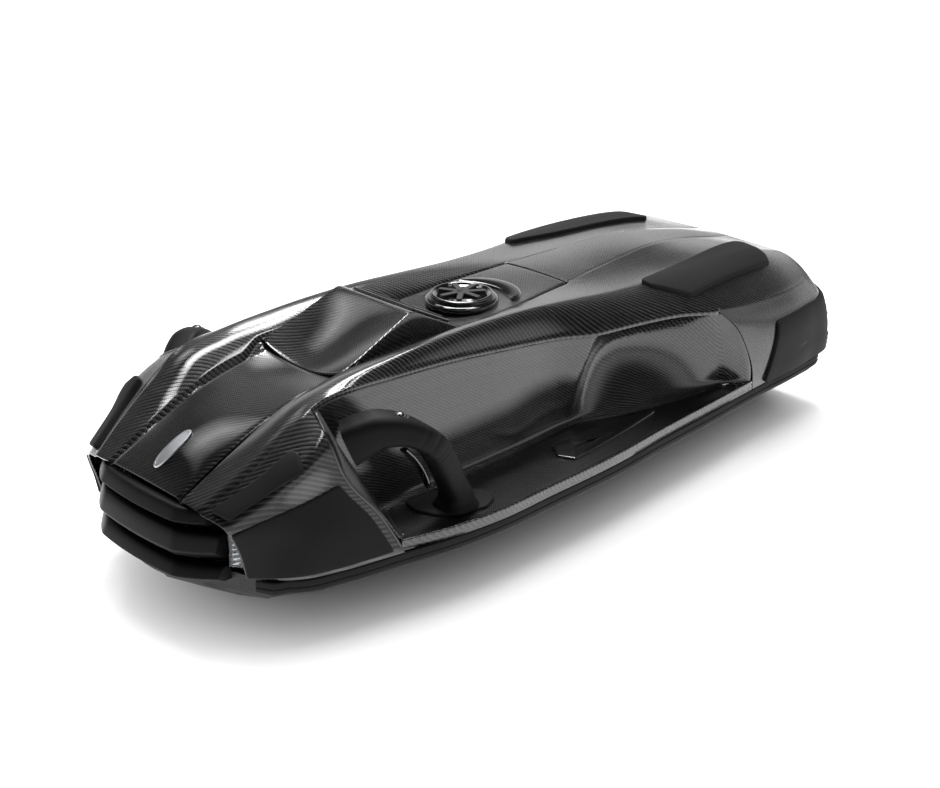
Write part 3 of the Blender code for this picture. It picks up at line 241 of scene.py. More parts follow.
def add_grid(bm, rows, uvs, keep=None):
    """Quads between rows of points, with a texture place for each point, in metres."""
    layer = bm.loops.layers.uv.verify()
    verts = [[bm.verts.new(p) for p in row] for row in rows]
    for r in range(len(rows) - 1):
        for c in range(len(rows[r]) - 1):
            if keep and not keep(r, c):
                continue
            corners = ((r, c), (r, c + 1), (r + 1, c + 1), (r + 1, c))
            face = bm.faces.new([verts[a][b] for a, b in corners])
            for loop, (a, b) in zip(face.loops, corners):
                loop[layer].uv = uvs[a][b]


def lay_flat(bm, first=0, second=1):
    """Texture places read straight from two of the coordinates."""
    layer = bm.loops.layers.uv.verify()
    for face in bm.faces:
        for loop in face.loops:
            loop[layer].uv = (loop.vert.co[first], loop.vert.co[second])


def tidy(bm, distance=0.00001):
    bmesh.ops.remove_doubles(bm, verts=bm.verts, dist=distance)
    bmesh.ops.dissolve_degenerate(bm, edges=bm.edges, dist=distance)
    loose = [v for v in bm.verts if not v.link_faces]
    bmesh.ops.delete(bm, geom=loose, context="VERTS")


def skin(name, bm, outward, thickness=SKIN, round_edge=0.0006, angle=32.0):
    """An open sheet that faces outward, with a wall thickness and slightly rounded rims."""
    tidy(bm)
    bmesh.ops.recalc_face_normals(bm, faces=bm.faces)
    total = sum((face.normal * face.calc_area() for face in bm.faces), Vector())
    if total.dot(Vector(outward)) < 0:
        bmesh.ops.reverse_faces(bm, faces=bm.faces)
    obj = build(name, bm, angle)
    solid = obj.modifiers.new("thickness", "SOLIDIFY")
    solid.thickness = thickness
    solid.offset = -1.0
    if round_edge:
        bevel = obj.modifiers.new("rims", "BEVEL")
        bevel.width = round_edge
        bevel.segments = 2
        bevel.limit_method = "ANGLE"
        bevel.angle_limit = math.radians(60)
    return obj


def wear(obj, material, nodes=(), body="hull"):
    """Gives a piece its material and its body, and hides the CAD nodes it stands for."""
    obj.data.materials.clear()
    obj.data.materials.append(material)
    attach(obj, body)
    if nodes:
        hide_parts(*nodes)


def steps(low, high, spacing=FINE):
    count = max(2, int(math.ceil(abs(high - low) / spacing)) + 1)
    return [low + (high - low) * i / (count - 1) for i in range(count)]


def bridge(bm, rings):
    """Quads between rings of points, each ring closed on itself; textures are laid flat."""
    for a, b in zip(rings, rings[1:]):
        for i in range(len(a)):
            j = (i + 1) % len(a)
            bm.faces.new((a[i], a[j], b[j], b[i]))
    lay_flat(bm)


def closed_loft(name, sections, smooth_angle=40.0, sign=1):
    """A body through rings of points, capped at its ends; its texture runs along and around it."""
    bm = bmesh.new()
    layer = bm.loops.layers.uv.verify()
    rings = [[bm.verts.new((sign * p[0], p[1], p[2])) for p in line] for line in sections]
    run = 0.0
    for a, b in zip(rings, rings[1:]):
        middles = [sum((v.co for v in line), Vector()) / len(line) for line in (a, b)]
        following = run + (middles[0] - middles[1]).length
        round_way = 0.0
        for i in range(len(a)):
            j = (i + 1) % len(a)
            step = (a[i].co - a[j].co).length
            face = bm.faces.new((a[i], a[j], b[j], b[i]))
            places = ((round_way, run), (round_way + step, run), (round_way + step, following),
                      (round_way, following))
            for loop, place in zip(face.loops, places):
                loop[layer].uv = place
            round_way += step
        run = following
    bm.faces.new(rings[0])
    bm.faces.new(rings[-1])
    bmesh.ops.recalc_face_normals(bm, faces=bm.faces)
    return build(name, bm, smooth_angle)


def turned(name, profile, centre, count=96):
    """A body turned about an upright axis from a closed profile of (radius, height)."""
    bm = bmesh.new()
    rings = []
    for k in range(count):
        angle = 2 * math.pi * k / count
        rings.append([bm.verts.new((centre[0] + r * math.cos(angle), centre[1] + r * math.sin(angle),
                                    centre[2] + h)) for r, h in profile])
    for a, b in zip(rings, rings[1:] + rings[:1]):
        for i in range(len(profile)):
            j = (i + 1) % len(profile)
            if profile[i][0] > 0 or profile[j][0] > 0:
                bm.faces.new((a[i], a[j], b[j], b[i]))
    lay_flat(bm)
    tidy(bm, 0.000005)
    bmesh.ops.recalc_face_normals(bm, faces=bm.faces)
    return build(name, bm, 35.0)


def ring(centre, radius_a, radius_b, axis_a, axis_b, count=32, power=2.5):
    """A rounded rectangle of points in the plane of two axes."""
    points = []
    for i in range(count):
        angle = 2 * math.pi * i / count
        a, b = (math.copysign(abs(turn) ** (2 / power), turn) for turn in (math.cos(angle), math.sin(angle)))
        across, up = Vector(axis_a) * (a * radius_a), Vector(axis_b) * (b * radius_b)
        points.append(tuple(Vector(centre) + across + up))
    return points


def round_outline(corners, radius, per_corner=6):
    """A closed outline with rounded corners; radius may be one number or one for each corner."""
    points = []
    count = len(corners)
    for i in range(count):
        here = Vector(corners[i])
        before = Vector(corners[i - 1])
        after = Vector(corners[(i + 1) % count])
        r = radius[i] if hasattr(radius, "__len__") else radius
        a = (before - here).normalized()
        b = (after - here).normalized()
        reach = min(r / max(math.tan(a.angle(b) / 2), .05), .45 * (before - here).length,
                    .45 * (after - here).length)
        start = here + a * reach
        end = here + b * reach
        for k in range(per_corner + 1):
            t = k / per_corner
            points.append((1 - t) ** 2 * start + 2 * t * (1 - t) * here + t * t * end)
    return points


def dense(outline, spacing):
    """Adds points along the sides of a closed outline."""
    points = []
    for a, b in zip(outline, outline[1:] + outline[:1]):
        count = max(1, int((b - a).length / spacing))
        points += [a.lerp(b, k / count) for k in range(count)]
    return points


def pad(name, outline, place, levels, spacing=.006, centre=None, smooth_angle=50.0):
    """A raised pad: rings from the outline inwards, each at (inset, height), then a fan to the middle.

    place(u, v, height) gives the point over the surface; u and v are in metres."""
    outline = dense(outline, spacing)
    middle = Vector(centre) if centre else sum(outline, Vector((0, 0))) / len(outline)
    bm = bmesh.new()
    layer = bm.loops.layers.uv.verify()
    last_inset, last_height = levels[-1]
    flats = [([p + (middle - p).normalized() * inset for p in outline], height) for inset, height in levels]
    for share in (.82, .62, .42, .22):
        flats.append(([middle.lerp(p + (middle - p).normalized() * last_inset, share) for p in outline],
                      last_height))
    rings = [[(bm.verts.new(place(q.x, q.y, height)), q) for q in line] for line, height in flats]
    for a, b in zip(rings, rings[1:]):
        for i in range(len(a)):
            j = (i + 1) % len(a)
            four = (a[i], a[j], b[j], b[i])
            face = bm.faces.new([v for v, q in four])
            for loop, (v, q) in zip(face.loops, four):
                loop[layer].uv = q
    bm.faces.new([v for v, q in rings[-1]])
    bm.faces.new([v for v, q in reversed(rings[0])])
    bmesh.ops.triangulate(bm, faces=[f for f in bm.faces if len(f.verts) > 4])
    bmesh.ops.recalc_face_normals(bm, faces=bm.faces)
    return build(name, bm, smooth_angle)


# ---------------------------------------------------------------- materials
def shader_of(name, **settings):
    """A material, its tree and its shader; coat_weight, for one, is put on the socket Coat Weight."""
    material = bpy.data.materials.new(name)
    material.use_nodes = True
    shader = material.node_tree.nodes["Principled BSDF"]
    sockets = {socket.name.replace(" ", "_").lower(): socket for socket in shader.inputs}
    for key, value in settings.items():
        sockets[key].default_value = value
    return material, material.node_tree, shader


def put(tree, kind, **values):
    """A node; a value goes on the input of that name if there is one, and else on the node itself."""
    node = tree.nodes.new(kind)
    for key, value in values.items():
        if key.title() in node.inputs:
            node.inputs[key.title()].default_value = value
        else:
            setattr(node, key, value)
    return node


def join(tree, source, target):
    """Links a socket to an input, or sets the input if the source is a number."""
    if isinstance(source, (int, float)):
        target.default_value = source
    else:
        tree.links.new(source, target)


def calc(tree, operation, a, b=None):
    """One Math node; a and b are sockets or numbers."""
    node = tree.nodes.new("ShaderNodeMath")
    node.operation = operation
    for socket, value in zip(node.inputs, (a, b)):
        if value is not None:
            join(tree, value, socket)
    return node.outputs[0]


def times_plus(tree, value, factor, offset):
    node = tree.nodes.new("ShaderNodeMath")
    node.operation = "MULTIPLY_ADD"
    for socket, source in zip(node.inputs, (value, factor, offset)):
        join(tree, source, socket)
    return node.outputs[0]


def blend_of(tree, share, a, b):
    """a where share is 0, b where it is 1."""
    node = tree.nodes.new("ShaderNodeMix")
    node.data_type = "FLOAT"
    for socket, value in zip((node.inputs[0], node.inputs[2], node.inputs[3]), (share, a, b)):
        join(tree, value, socket)
    return node.outputs[0]


def toned(tree, shader, level, colour):
    """The base colour: one colour whose level varies."""
    tone = tree.nodes.new("ShaderNodeCombineColor")
    for socket, value in zip(tone.inputs, colour):
        tree.links.new(calc(tree, "MULTIPLY", level, value), socket)
    tree.links.new(tone.outputs[0], shader.inputs["Base Color"])


def bumped(tree, shader, height, strength, distance):
    bump = put(tree, "ShaderNodeBump", strength=strength, distance=distance)
    tree.links.new(height, bump.inputs["Height"])
    tree.links.new(bump.outputs["Normal"], shader.inputs["Normal"])


def on_object(tree, kind, **values):
    """A texture node laid on the object's own coordinates."""
    node = put(tree, kind, **values)
    place = tree.nodes.new("ShaderNodeTexCoord")
    tree.links.new(place.outputs["Object"], node.inputs["Vector"])
    return node


def twill(tree, tow, across, along):
    """A two-by-two twill of tows: returns which set is on top, a tone for each tow, and the normal's tilt."""
    do = functools.partial(calc, tree)
    parts = tree.nodes.new("ShaderNodeSeparateXYZ")
    tree.links.new(tree.nodes.new("ShaderNodeUVMap").outputs[0], parts.inputs[0])
    u, v = (do("DIVIDE", socket, tow) for socket in parts.outputs[:2])
    column, row = do("FLOOR", u), do("FLOOR", v)
    in_u, in_v = do("SUBTRACT", u, column), do("SUBTRACT", v, row)
    phase = do("FLOORED_MODULO", do("SUBTRACT", column, row), 4.0)
    warp_on_top = do("LESS_THAN", phase, 1.5)
    odd = do("FLOORED_MODULO", phase, 2.0)
    even = do("SUBTRACT", 1.0, odd)
    across_u, across_v = (do("COSINE", do("MULTIPLY", part, math.pi)) for part in (in_u, in_v))
    end_warp, end_weft = (do("COSINE", do("MULTIPLY", do("ADD", part, which), math.pi / 2))
                          for part, which in ((in_v, even), (in_u, odd)))
    tilt_u = blend_of(tree, warp_on_top, do("MULTIPLY", end_weft, -along), do("MULTIPLY", across_u, -across))
    tilt_v = blend_of(tree, warp_on_top, do("MULTIPLY", across_v, -across), do("MULTIPLY", end_warp, -along))
    which = tree.nodes.new("ShaderNodeCombineXYZ")
    tree.links.new(blend_of(tree, warp_on_top, row, column), which.inputs[0])
    tree.links.new(warp_on_top, which.inputs[1])
    tone = put(tree, "ShaderNodeTexWhiteNoise", noise_dimensions="2D")
    tree.links.new(which.outputs[0], tone.inputs["Vector"])
    return warp_on_top, tone.outputs["Value"], tilt_u, tilt_v


def tilt_normal(tree, tilt_u, tilt_v, amount):
    """A tangent-space normal leaning by the tilts times the amount."""
    colour = tree.nodes.new("ShaderNodeCombineXYZ")
    for socket, tilt in zip(colour.inputs, (tilt_u, tilt_v)):
        tree.links.new(times_plus(tree, tilt, .5 * amount, .5), socket)
    colour.inputs[2].default_value = 1.0
    normal = put(tree, "ShaderNodeNormalMap", space="TANGENT")
    tree.links.new(colour.outputs[0], normal.inputs["Color"])
    return normal.outputs[0]


def carbon(name, warp, weft, tow=.0017, across=.32, along=.24, comb=.13):
    """Woven carbon under a thick clear coat: tows shine across their fibres; the coat keeps their waves."""
    material, tree, shader = shader_of(name, metallic=.9, roughness=.29, anisotropic=.7, coat_weight=1.0,
                                       coat_roughness=.03, coat_ior=1.6)
    on_top, tone, tilt_u, tilt_v = twill(tree, tow, across, along)
    tree.links.new(tilt_normal(tree, tilt_u, tilt_v, 1.0), shader.inputs["Normal"])
    tree.links.new(tilt_normal(tree, tilt_u, tilt_v, comb), shader.inputs["Coat Normal"])
    # painted sheen: the weft tows get a much higher level than the warp tows, as if one set always caught the
    # light; the per-tow tone is random
    level = blend_of(tree, on_top, weft, warp)
    toned(tree, shader, calc(tree, "MULTIPLY", level, times_plus(tree, tone, .40, .80)), (1.0, 1.0, 1.02))
    fibre = put(tree, "ShaderNodeTangent", direction_type="UV_MAP")
    tree.links.new(fibre.outputs[0], shader.inputs["Tangent"])
    tree.links.new(calc(tree, "MULTIPLY", on_top, .25), shader.inputs["Anisotropic Rotation"])
    return material


def grained(name, colour, roughness, grain, depth, coat=0.0, specular=.5):
    """A moulded or cast surface: fine grain in height, and patches that vary in gloss and tone."""
    material, tree, shader = shader_of(name, coat_weight=coat, specular_ior_level=specular)
    spread = .25
    fine = on_object(tree, "ShaderNodeTexNoise", scale=grain, detail=3.0).outputs["Fac"]
    broad = on_object(tree, "ShaderNodeTexNoise", scale=9.0, detail=4.0).outputs["Fac"]
    bumped(tree, shader, fine, depth, .0002)
    gloss = times_plus(tree, broad, roughness * spread, roughness * (1 - spread / 2))
    tree.links.new(gloss, shader.inputs["Roughness"])
    level = calc(tree, "ADD", calc(tree, "MULTIPLY", broad, .3), times_plus(tree, fine, .26, .72))
    toned(tree, shader, level, colour)
    return material


def brushed(name, colour, roughness, stretch=(60, 60, 1400)):
    """Metal with fine lines one way."""
    material, tree, shader = shader_of(name, metallic=1.0)
    drawn = on_object(tree, "ShaderNodeMapping", scale=stretch)
    lines = put(tree, "ShaderNodeTexNoise", scale=1.0, detail=5.0)
    tree.links.new(drawn.outputs[0], lines.inputs["Vector"])
    lines = lines.outputs["Fac"]
    tree.links.new(times_plus(tree, lines, roughness * .6, roughness * .7), shader.inputs["Roughness"])
    bumped(tree, shader, lines, .15, .0001)
    toned(tree, shader, times_plus(tree, lines, .3, .85), colour)
    return material


def fluted(name, bright, dark, period):
    """A lamp reflector with painted glints and painted shade: narrow bright flutes, one above the other,
    between dark steps.
    """
    material, tree, shader = shader_of(name, metallic=1.0, roughness=.12)
    wave = on_object(tree, "ShaderNodeTexWave", bands_direction="Z", distortion=.6,
                     scale=math.pi / 10 / period)
    flute = calc(tree, "POWER", wave.outputs["Fac"], 5.0)
    # painted reflection: the metal's colour swaps between a bright glint level and a near-black shade level
    toned(tree, shader, blend_of(tree, flute, dark, bright), (1.0, 1.0, 1.0))
    return material


def clear_lens(name):
    """Moulded clear plastic with faint flutes."""
    material, tree, shader = shader_of(name, base_color=(.62, .64, .67, 1), roughness=.04,
                                       transmission_weight=1.0, ior=1.49)
    wave = on_object(tree, "ShaderNodeTexWave", bands_direction="Z", scale=60.0)
    bumped(tree, shader, wave.outputs["Fac"], .5, .0004)
    return material


def screen_glass(name):
    """A dark display: a ring gauge and a row of level bars, with no characters."""
    material, tree, shader = shader_of(name, emission_color=(.25, .75, .85, 1), roughness=.06,
                                       base_color=(.008, .010, .013, 1), coat_weight=1.0)
    do = functools.partial(calc, tree)
    parts = tree.nodes.new("ShaderNodeSeparateXYZ")
    tree.links.new(tree.nodes.new("ShaderNodeTexCoord").outputs["Generated"], parts.inputs[0])
    across = do("MULTIPLY", do("SUBTRACT", parts.outputs[0], .34), 1.72)
    down = do("SUBTRACT", parts.outputs[1], .5)
    radius = do("SQRT", do("ADD", do("MULTIPLY", across, across), do("MULTIPLY", down, down)))
    dial = do("LESS_THAN", do("ABSOLUTE", do("SUBTRACT", radius, .30)), .028)
    column = do("SUBTRACT", parts.outputs[0], .66)
    inside = do("MULTIPLY", do("GREATER_THAN", column, 0.0), do("LESS_THAN", column, .26))
    bars = do("LESS_THAN", do("FLOORED_MODULO", column, .052), .034)
    tall = do("LESS_THAN", do("ABSOLUTE", down), .16)
    lit = do("MAXIMUM", dial, do("MULTIPLY", inside, do("MULTIPLY", bars, tall)))
    tree.links.new(do("MULTIPLY", lit, .8), shader.inputs["Emission Strength"])
    return material


# weft level nine times the warp's: painted sheen on one set of tows
CARBON = carbon("carbon_twill", .004, .036)
# painted shade: a darker copy of the carbon for the floor of the arm recesses
CARBON_SHADED_FLOOR = carbon("carbon_twill_floor", .004, .030)
RUBBER = grained("moulded_rubber", (.0070, .0070, .0075), .68, 1500, .55, specular=.24)
GRIP = grained("grip_rubber", (.0030, .0030, .0034), .55, 1100, .30, specular=.14)
PLASTIC = grained("satin_plastic", (.009, .009, .0095), .45, 1700, .25, specular=.4)
# painted shade: a darker, less shiny copy of the satin plastic for the nose blades and screen, standing for
# the shadow at the nose
NOSE_SHADE_PLASTIC = grained("blade_plastic", (.0035, .0035, .004), .42, 2200, .15, specular=.19)
GLOSS = grained("polished_black", (.006, .006, .007), .10, 300, .02, coat=1.0)
# painted glints on the reflector: bright flutes over dark steps
PAINTED_GLINT_REFLECTOR = fluted("lamp_reflector", .85, .012, .0062)
ALUMINIUM = brushed("anodised_aluminium", (.55, .56, .58), .38)
STEEL = brushed("ground_steel", (.60, .60, .61), .28)
LENS = clear_lens("clear_lens")
BATTERY = grained("battery_case", (.08, .13, .22), .45, 900, .3)
SCREEN = screen_glass("display_screen")


# ---------------------------------------------------------------- carbon skins on top
def sheet(name, rows, uvs, outward, nodes=(), material=CARBON, keep=None, **finish):
    """A carbon skin from a grid of points."""
    bm = bmesh.new()
    add_grid(bm, rows, uvs, keep)
    wear(skin(name, bm, outward, **finish), material, nodes)


def from_above(rows):
    return [[(p[0], p[1]) for p in row] for row in rows]


def shoulder_skin(side, sign):
    """From the panel seam over the crest, and rolled over the edge of the recess."""
    rows = []
    uvs = []
    columns = 30
    for y in steps(NOSE_Y, TAIL_Y):
        beside_panel = y <= PANEL_END_Y
        inner = float(panel_line(y)[0]) + GAP if beside_panel else float(crease_line(y)[0])
        edge = float(edge_line(y)[0])
        row = []
        for k in range(columns + 1):
            x = inner + (edge - inner) * (k / columns)
            px, py, pz = deck_point(x, y)
            near_seam = max(0.0, 1 - (x - inner) / .0022)
            row.append((px, py, pz - .0014 * near_seam * near_seam * beside_panel))
        over_recess = CORNER_FRONT_Y - .004 < y < CORNER_REAR_Y + .004
        px, py, pz = row[-1]
        for out, down in ((.0011, .0008), (.0018, .0020), (.0020, .0040), (.0016, .0064)):
            row.append((px + out * over_recess, py, pz - down * over_recess))
        rows.append([(sign * a, b, c) for a, b, c in row])
        uvs.append([(sign * a, b) for a, b, c in row])
    sheet("shoulder_skin_" + side, rows, uvs, (0, 0, 1), ("top_shell",))


def rear_deck_skin():
    rows = []
    for y in [PANEL_END_Y + .0008] + steps(PANEL_END_Y + .003, TAIL_Y):
        half = float(crease_line(y)[0])
        rows.append([deck_point(-half + 2 * half * k / 24, y) for k in range(25)])
    sheet("rear_deck_skin", rows, from_above(rows), (0, 0, 1))


def flank_skin(name, surface, tops, count, sign, outward):
    """A flank of columns hung from the deck's edge; each top is (share, point, texture place)."""
    rows = []
    uvs = []
    for share, top, (u, v) in tops:
        shift = top - Vector(surface(share, 0))
        row = [Vector(surface(share, k / count)) + shift * (1 - k / count) ** 4 for k in range(count + 1)]
        rows.append([(sign * p.x, p.y, p.z) for p in row])
        uvs.append([(u + r, v) for r in run_lengths(row)])
    sheet(name, rows, uvs, outward)


def front_cheek(side, sign):
    """The flank between the nose and the recess."""
    tops = []
    for y in steps(NOSE_Y, CORNER_FRONT_Y):
        x = float(edge_line(y)[0])
        tops.append(((y - NOSE_Y) / (CORNER_FRONT_Y - NOSE_Y), Vector(deck_point(x, y)), (x, y)))
    flank_skin("cheek_skin_" + side, front_flank, tops, 30, sign, (sign, -1, .3))


def rear_quarter(side, sign):
    """From the recess round the tail corner to the middle of the transom."""
    edge = [(float(edge_line(y)[0]), y) for y in steps(CORNER_REAR_Y, TAIL_Y)]
    edge += [(edge[-1][0] * (1 - k / 44), TAIL_Y) for k in range(1, 45)]
    points = [Vector(deck_point(*p)) for p in edge]
    chord = run_lengths(points)
    tops = [(run / chord[-1], point, (.2, CORNER_REAR_Y + run)) for point, run in zip(points, chord)]
    flank_skin("quarter_skin_" + side, rear_flank, tops, 24, sign, (sign, .6, .2))


def panel_skin(name, y_low, y_high, node, round_port=False):
    """A flush panel down the middle, with softened edges."""
    rows = []
    for y in steps(y_low + .0006, y_high - .0006, .004):
        seam = float(panel_line(y)[0]) - GAP
        end_drop = .0012 * max(0.0, 1 - min(y - y_low, y_high - y) / .004) ** 2
        row = []
        for k in range(41):
            x = -seam + 2 * seam * k / 40
            side_drop = .0022 * max(0.0, 1 - (seam - abs(x)) / .0045) ** 2
            row.append((x, y, deck_z(x, y) - side_drop - end_drop))
        rows.append(row)

    def keep(r, c):
        x, y, z = rows[r][c]
        return not round_port or math.hypot(x - CAP_CENTRE[0], y - CAP_CENTRE[1]) > PORT_RADIUS + .004
    sheet(name, rows, from_above(rows), (0, 0, 1), (node,), keep=keep)


# ---------------------------------------------------------------- display cowl
def cowl_z(x, y):
    """A dished front slope up to the ridge, then a flat rear face down to the deck."""
    front_seam, rear_seam = (float(panel_line(end)[0]) for end in (COWL_FRONT_Y, COWL_REAR_Y))
    if y > RIDGE_Y:
        t = (y - RIDGE_Y) / (COWL_REAR_Y - RIDGE_Y)
        return RIDGE_Z + (deck_z(rear_seam, COWL_REAR_Y) - RIDGE_Z) * t
    t = (y - COWL_FRONT_Y) / (RIDGE_Y - COWL_FRONT_Y)
    edge_z = deck_z(front_seam, COWL_FRONT_Y)
    edge_z += (RIDGE_Z - edge_z) * t ** 1.1
    middle_z = deck_z(0, COWL_FRONT_Y)
    middle_z += (RIDGE_Z - middle_z) * t ** 1.35
    return middle_z + (edge_z - middle_z) * (x / float(panel_line(y)[0])) ** 2


def cowl_skin():
    """The display cowl: a raised rim round the dish, and triangular side faces down to the deck."""
    rows = []
    uvs = []
    stations = steps(COWL_FRONT_Y + .0006, RIDGE_Y - .003, .004) + [RIDGE_Y - .0012, RIDGE_Y + .0012]
    stations += steps(RIDGE_Y + .004, COWL_REAR_Y - .0006, .004)
    for y in stations:
        seam = float(panel_line(y)[0]) - GAP
        ease = .0012 * max(0.0, 1 - abs(y - RIDGE_Y) / .006) ** 2
        top = cowl_z(seam, y) - ease
        foot = min(deck_z(seam, y), top - .0008)
        rim_drop = .0030 if top - foot > .004 else .0010
        half = [(seam * k / 18, cowl_z(seam * k / 18, y) - ease) for k in range(18)]
        half += [(seam - .0016, top - .0002), (seam - .0005, top - .0010), (seam, top - rim_drop)]
        half += [(seam, top + (foot - top) * k) for k in (.4, .7, 1.0)]
        row = [(-a, y, b) for a, b in reversed(half[1:])] + [(a, y, b) for a, b in half]
        rows.append(row)
        sides = [(top - c) if abs(a) > seam - .0002 else 0.0 for a, b, c in row]
        uvs.append([(a + math.copysign(drop, a), b) for (a, b, c), drop in zip(row, sides)])
    sheet("cowl_skin", rows, uvs, (0, 0, 1), ("display_cowl",), angle=26.0)


# ---------------------------------------------------------------- arm recesses
HEIGHTS = [k / 26 for k in range(27)]
FRONT_COLUMNS = 9          # over the recess's front end face
WALL_COLUMNS = 170         # along its wall
REAR_COLUMNS = 6           # over its rear end face
WALL_END = FRONT_COLUMNS + WALL_COLUMNS
FILLET = .010              # at the foot of the wall
BRIM = .01305              # width of the lip
LIP_PROFILE = ((.0035, .0004), (.0062, .0014), (.0082, .0028), (.0096, .0038), (.0108, .0042), (.0118, .0041),
               (.0126, .0036), (.0130, .0026), (.0130, .0008), (.0128, -.004), (.0126, -.0102))


def wall_point(share, w):
    """A point of the recess wall: a flat wall, then from a crease on a bowl that ends in an upright edge."""
    y = CORNER_FRONT_Y + (CORNER_REAR_Y - CORNER_FRONT_Y) * min(max(share, .004), 1.0)
    x = float(edge_line(y)[0])
    top = Vector((x + .0003, y, deck_z(x, y) - .0042))
    point = top.lerp(Vector((*map(float, wall_foot(share)), FLOOR_Z)), w)
    crease = .71 - .144 * w
    t = clamp((share - crease) / (1 - crease))
    point.x -= .048 * math.sin(math.pi * t ** .75) * math.sin(math.pi * min(w ** .66 * 1.01, 1)) ** .9
    return point


def recess_columns():
    """The recess's columns from the front end face, along the wall, to the rear end face."""
    columns = []
    for k in range(FRONT_COLUMNS):
        share = k / FRONT_COLUMNS
        column = []
        for w in HEIGHTS:
            outer = Vector(front_flank(1.0, .04 + .88 * w))
            inner = wall_point(0.0, w)
            point = outer.lerp(inner, share)
            point.y += .0012 + .006 * math.sin(math.pi * share) * (1 - w)
            if k == 0:
                point += (inner - outer).normalized() * .0012
            column.append(point)
        columns.append(column)
    columns += [[wall_point(k / WALL_COLUMNS, w) for w in HEIGHTS] for k in range(WALL_COLUMNS + 1)]
    last = columns[-1]
    outers = [Vector(rear_flank(0, .05 + .87 * w)) - Vector((.0006, .0012, 0)) for w in HEIGHTS]
    for k in range(1, REAR_COLUMNS + 1):
        columns.append([inner.lerp(outer, k / REAR_COLUMNS) for inner, outer in zip(last, outers)])
    return columns


def foot_of(i, column):
    """Where a column meets the floor."""
    def on_floor(line, end, dx=0.0, dy=0.0):
        x, y = map(float, line(end))
        return Vector((x + dx, y + dy, FLOOR_Z))
    if i < FRONT_COLUMNS:
        return on_floor(lip_line, 0, -.0020, .0015).lerp(on_floor(wall_foot, 0), i / FRONT_COLUMNS)
    if i > WALL_END:
        share = (i - WALL_END) / REAR_COLUMNS
        return on_floor(wall_foot, 1).lerp(on_floor(lip_line, 1, -.0020, -.0015), share)
    return Vector((column[-1].x, column[-1].y, FLOOR_Z))


def rolled(column, foot, inward):
    """A column led to its foot and turned into the floor by a fillet."""
    points = [point + (foot - column[-1]) * smoothstep(.45, 1.0, w) for point, w in zip(column, HEIGHTS)]
    low = next(k for k, p in enumerate(points) if p.z < FLOOR_Z + FILLET)
    base = points[low - 1]
    bend = base + (foot - base) * .93
    toe = foot + inward * FILLET * .8
    turn = [(1 - t) ** 2 * base + 2 * t * (1 - t) * bend + t * t * toe for t in (k / 8 for k in range(1, 9))]
    return points[:low] + turn


def resampled(points, count, power):
    """The same line with points closer together towards its end."""
    lengths = run_lengths(points)
    fresh = []
    for k in range(count + 1):
        want = lengths[-1] * (1 - (1 - k / count) ** power)
        j = min(max(int(np.searchsorted(lengths, want)), 1), len(points) - 1)
        part = (want - lengths[j - 1]) / max(lengths[j] - lengths[j - 1], 1e-9)
        fresh.append(points[j - 1].lerp(points[j], min(part, 1.0)))
    return fresh, lengths[-1]


def recess_skin(side, sign):
    """Wall, floor and lip of one recess, with a fillet at the foot of the wall."""
    wall_rows, wall_uvs, floor_rows, floor_uvs = [], [], [], []
    for i, column in enumerate(recess_columns()):
        before_wall = max(FRONT_COLUMNS - i, 0)
        past_wall = max(i - WALL_END, 0)
        inward = Vector((1, 0, 0))
        if before_wall or past_wall:
            inward = Vector((.2, 1 if before_wall else -1, 0)).normalized()
        line, length = resampled(rolled(column, foot_of(i, column), inward), 40, 1.25)
        toe = line[-1]
        along = toe.y - before_wall * .004 + past_wall * .006
        wall_rows.append([(sign * p.x, p.y, p.z) for p in line])
        wall_uvs.append([(along, length * k / 40) for k in range(41)])
        lx, ly = map(float, lip_line(clamp((i - FRONT_COLUMNS) / WALL_COLUMNS)))
        brim = Vector((lx - BRIM, ly, FLOOR_Z))
        if before_wall:
            brim = Vector((lx - BRIM, ly - .0012, FLOOR_Z)).lerp(brim, i / FRONT_COLUMNS)
        toe = Vector((min(toe.x, brim.x - .001), toe.y, toe.z))
        line = [toe.lerp(brim, k / 16) for k in range(17)]
        line += [brim + Vector((out, 0, up)) for out, up in LIP_PROFILE]
        floor_rows.append([(sign * p.x, p.y, p.z) for p in line])
        floor_uvs.append([(p.x + max(0.0, FLOOR_Z - p.z), p.y) for p in line])
    sheet("recess_wall_" + side, wall_rows, wall_uvs, (sign, 0, .6), ("recess_liner_" + side,),
          round_edge=0, angle=40.0)
    # the recess floor wears the darker carbon copy: painted shade
    sheet("recess_floor_" + side, floor_rows, floor_uvs, (0, 0, 1), material=CARBON_SHADED_FLOOR,
          round_edge=0, angle=40.0)


def recess_bead(side, sign):
    """A rounded, polished edge down the front of the recess opening."""
    path = [Vector(front_flank(1.0, .012 + .955 * k / 60)) for k in range(61)]
    corner = Vector(deck_point(float(edge_line(CORNER_FRONT_Y)[0]), CORNER_FRONT_Y))
    path[0] = corner + Vector((.0004, 0, -.0010))
    sections = []
    for i, point in enumerate(path):
        along = (path[min(i + 1, 60)] - path[max(i - 1, 0)]).normalized()
        outward = Vector((.55, -.6, .2))
        outward = (outward - along * along.dot(outward)).normalized()
        sections.append(ring(point - outward * .0006, .0017, .0017, outward, along.cross(outward), 14, 2.0))
    wear(closed_loft("recess_bead_" + side, sections, 60.0, sign), GLOSS)


for side, sign in SIDES:
    recess_bead(side, sign)
    shoulder_skin(side, sign)
    front_cheek(side, sign)
    rear_quarter(side, sign)
    recess_skin(side, sign)
rear_deck_skin()
panel_skin("hood_skin", NOSE_Y, COWL_FRONT_Y, "hood_panel")
panel_skin("deck_panel_skin", COWL_REAR_Y, PANEL_END_Y, "deck_panel", True)
cowl_skin()

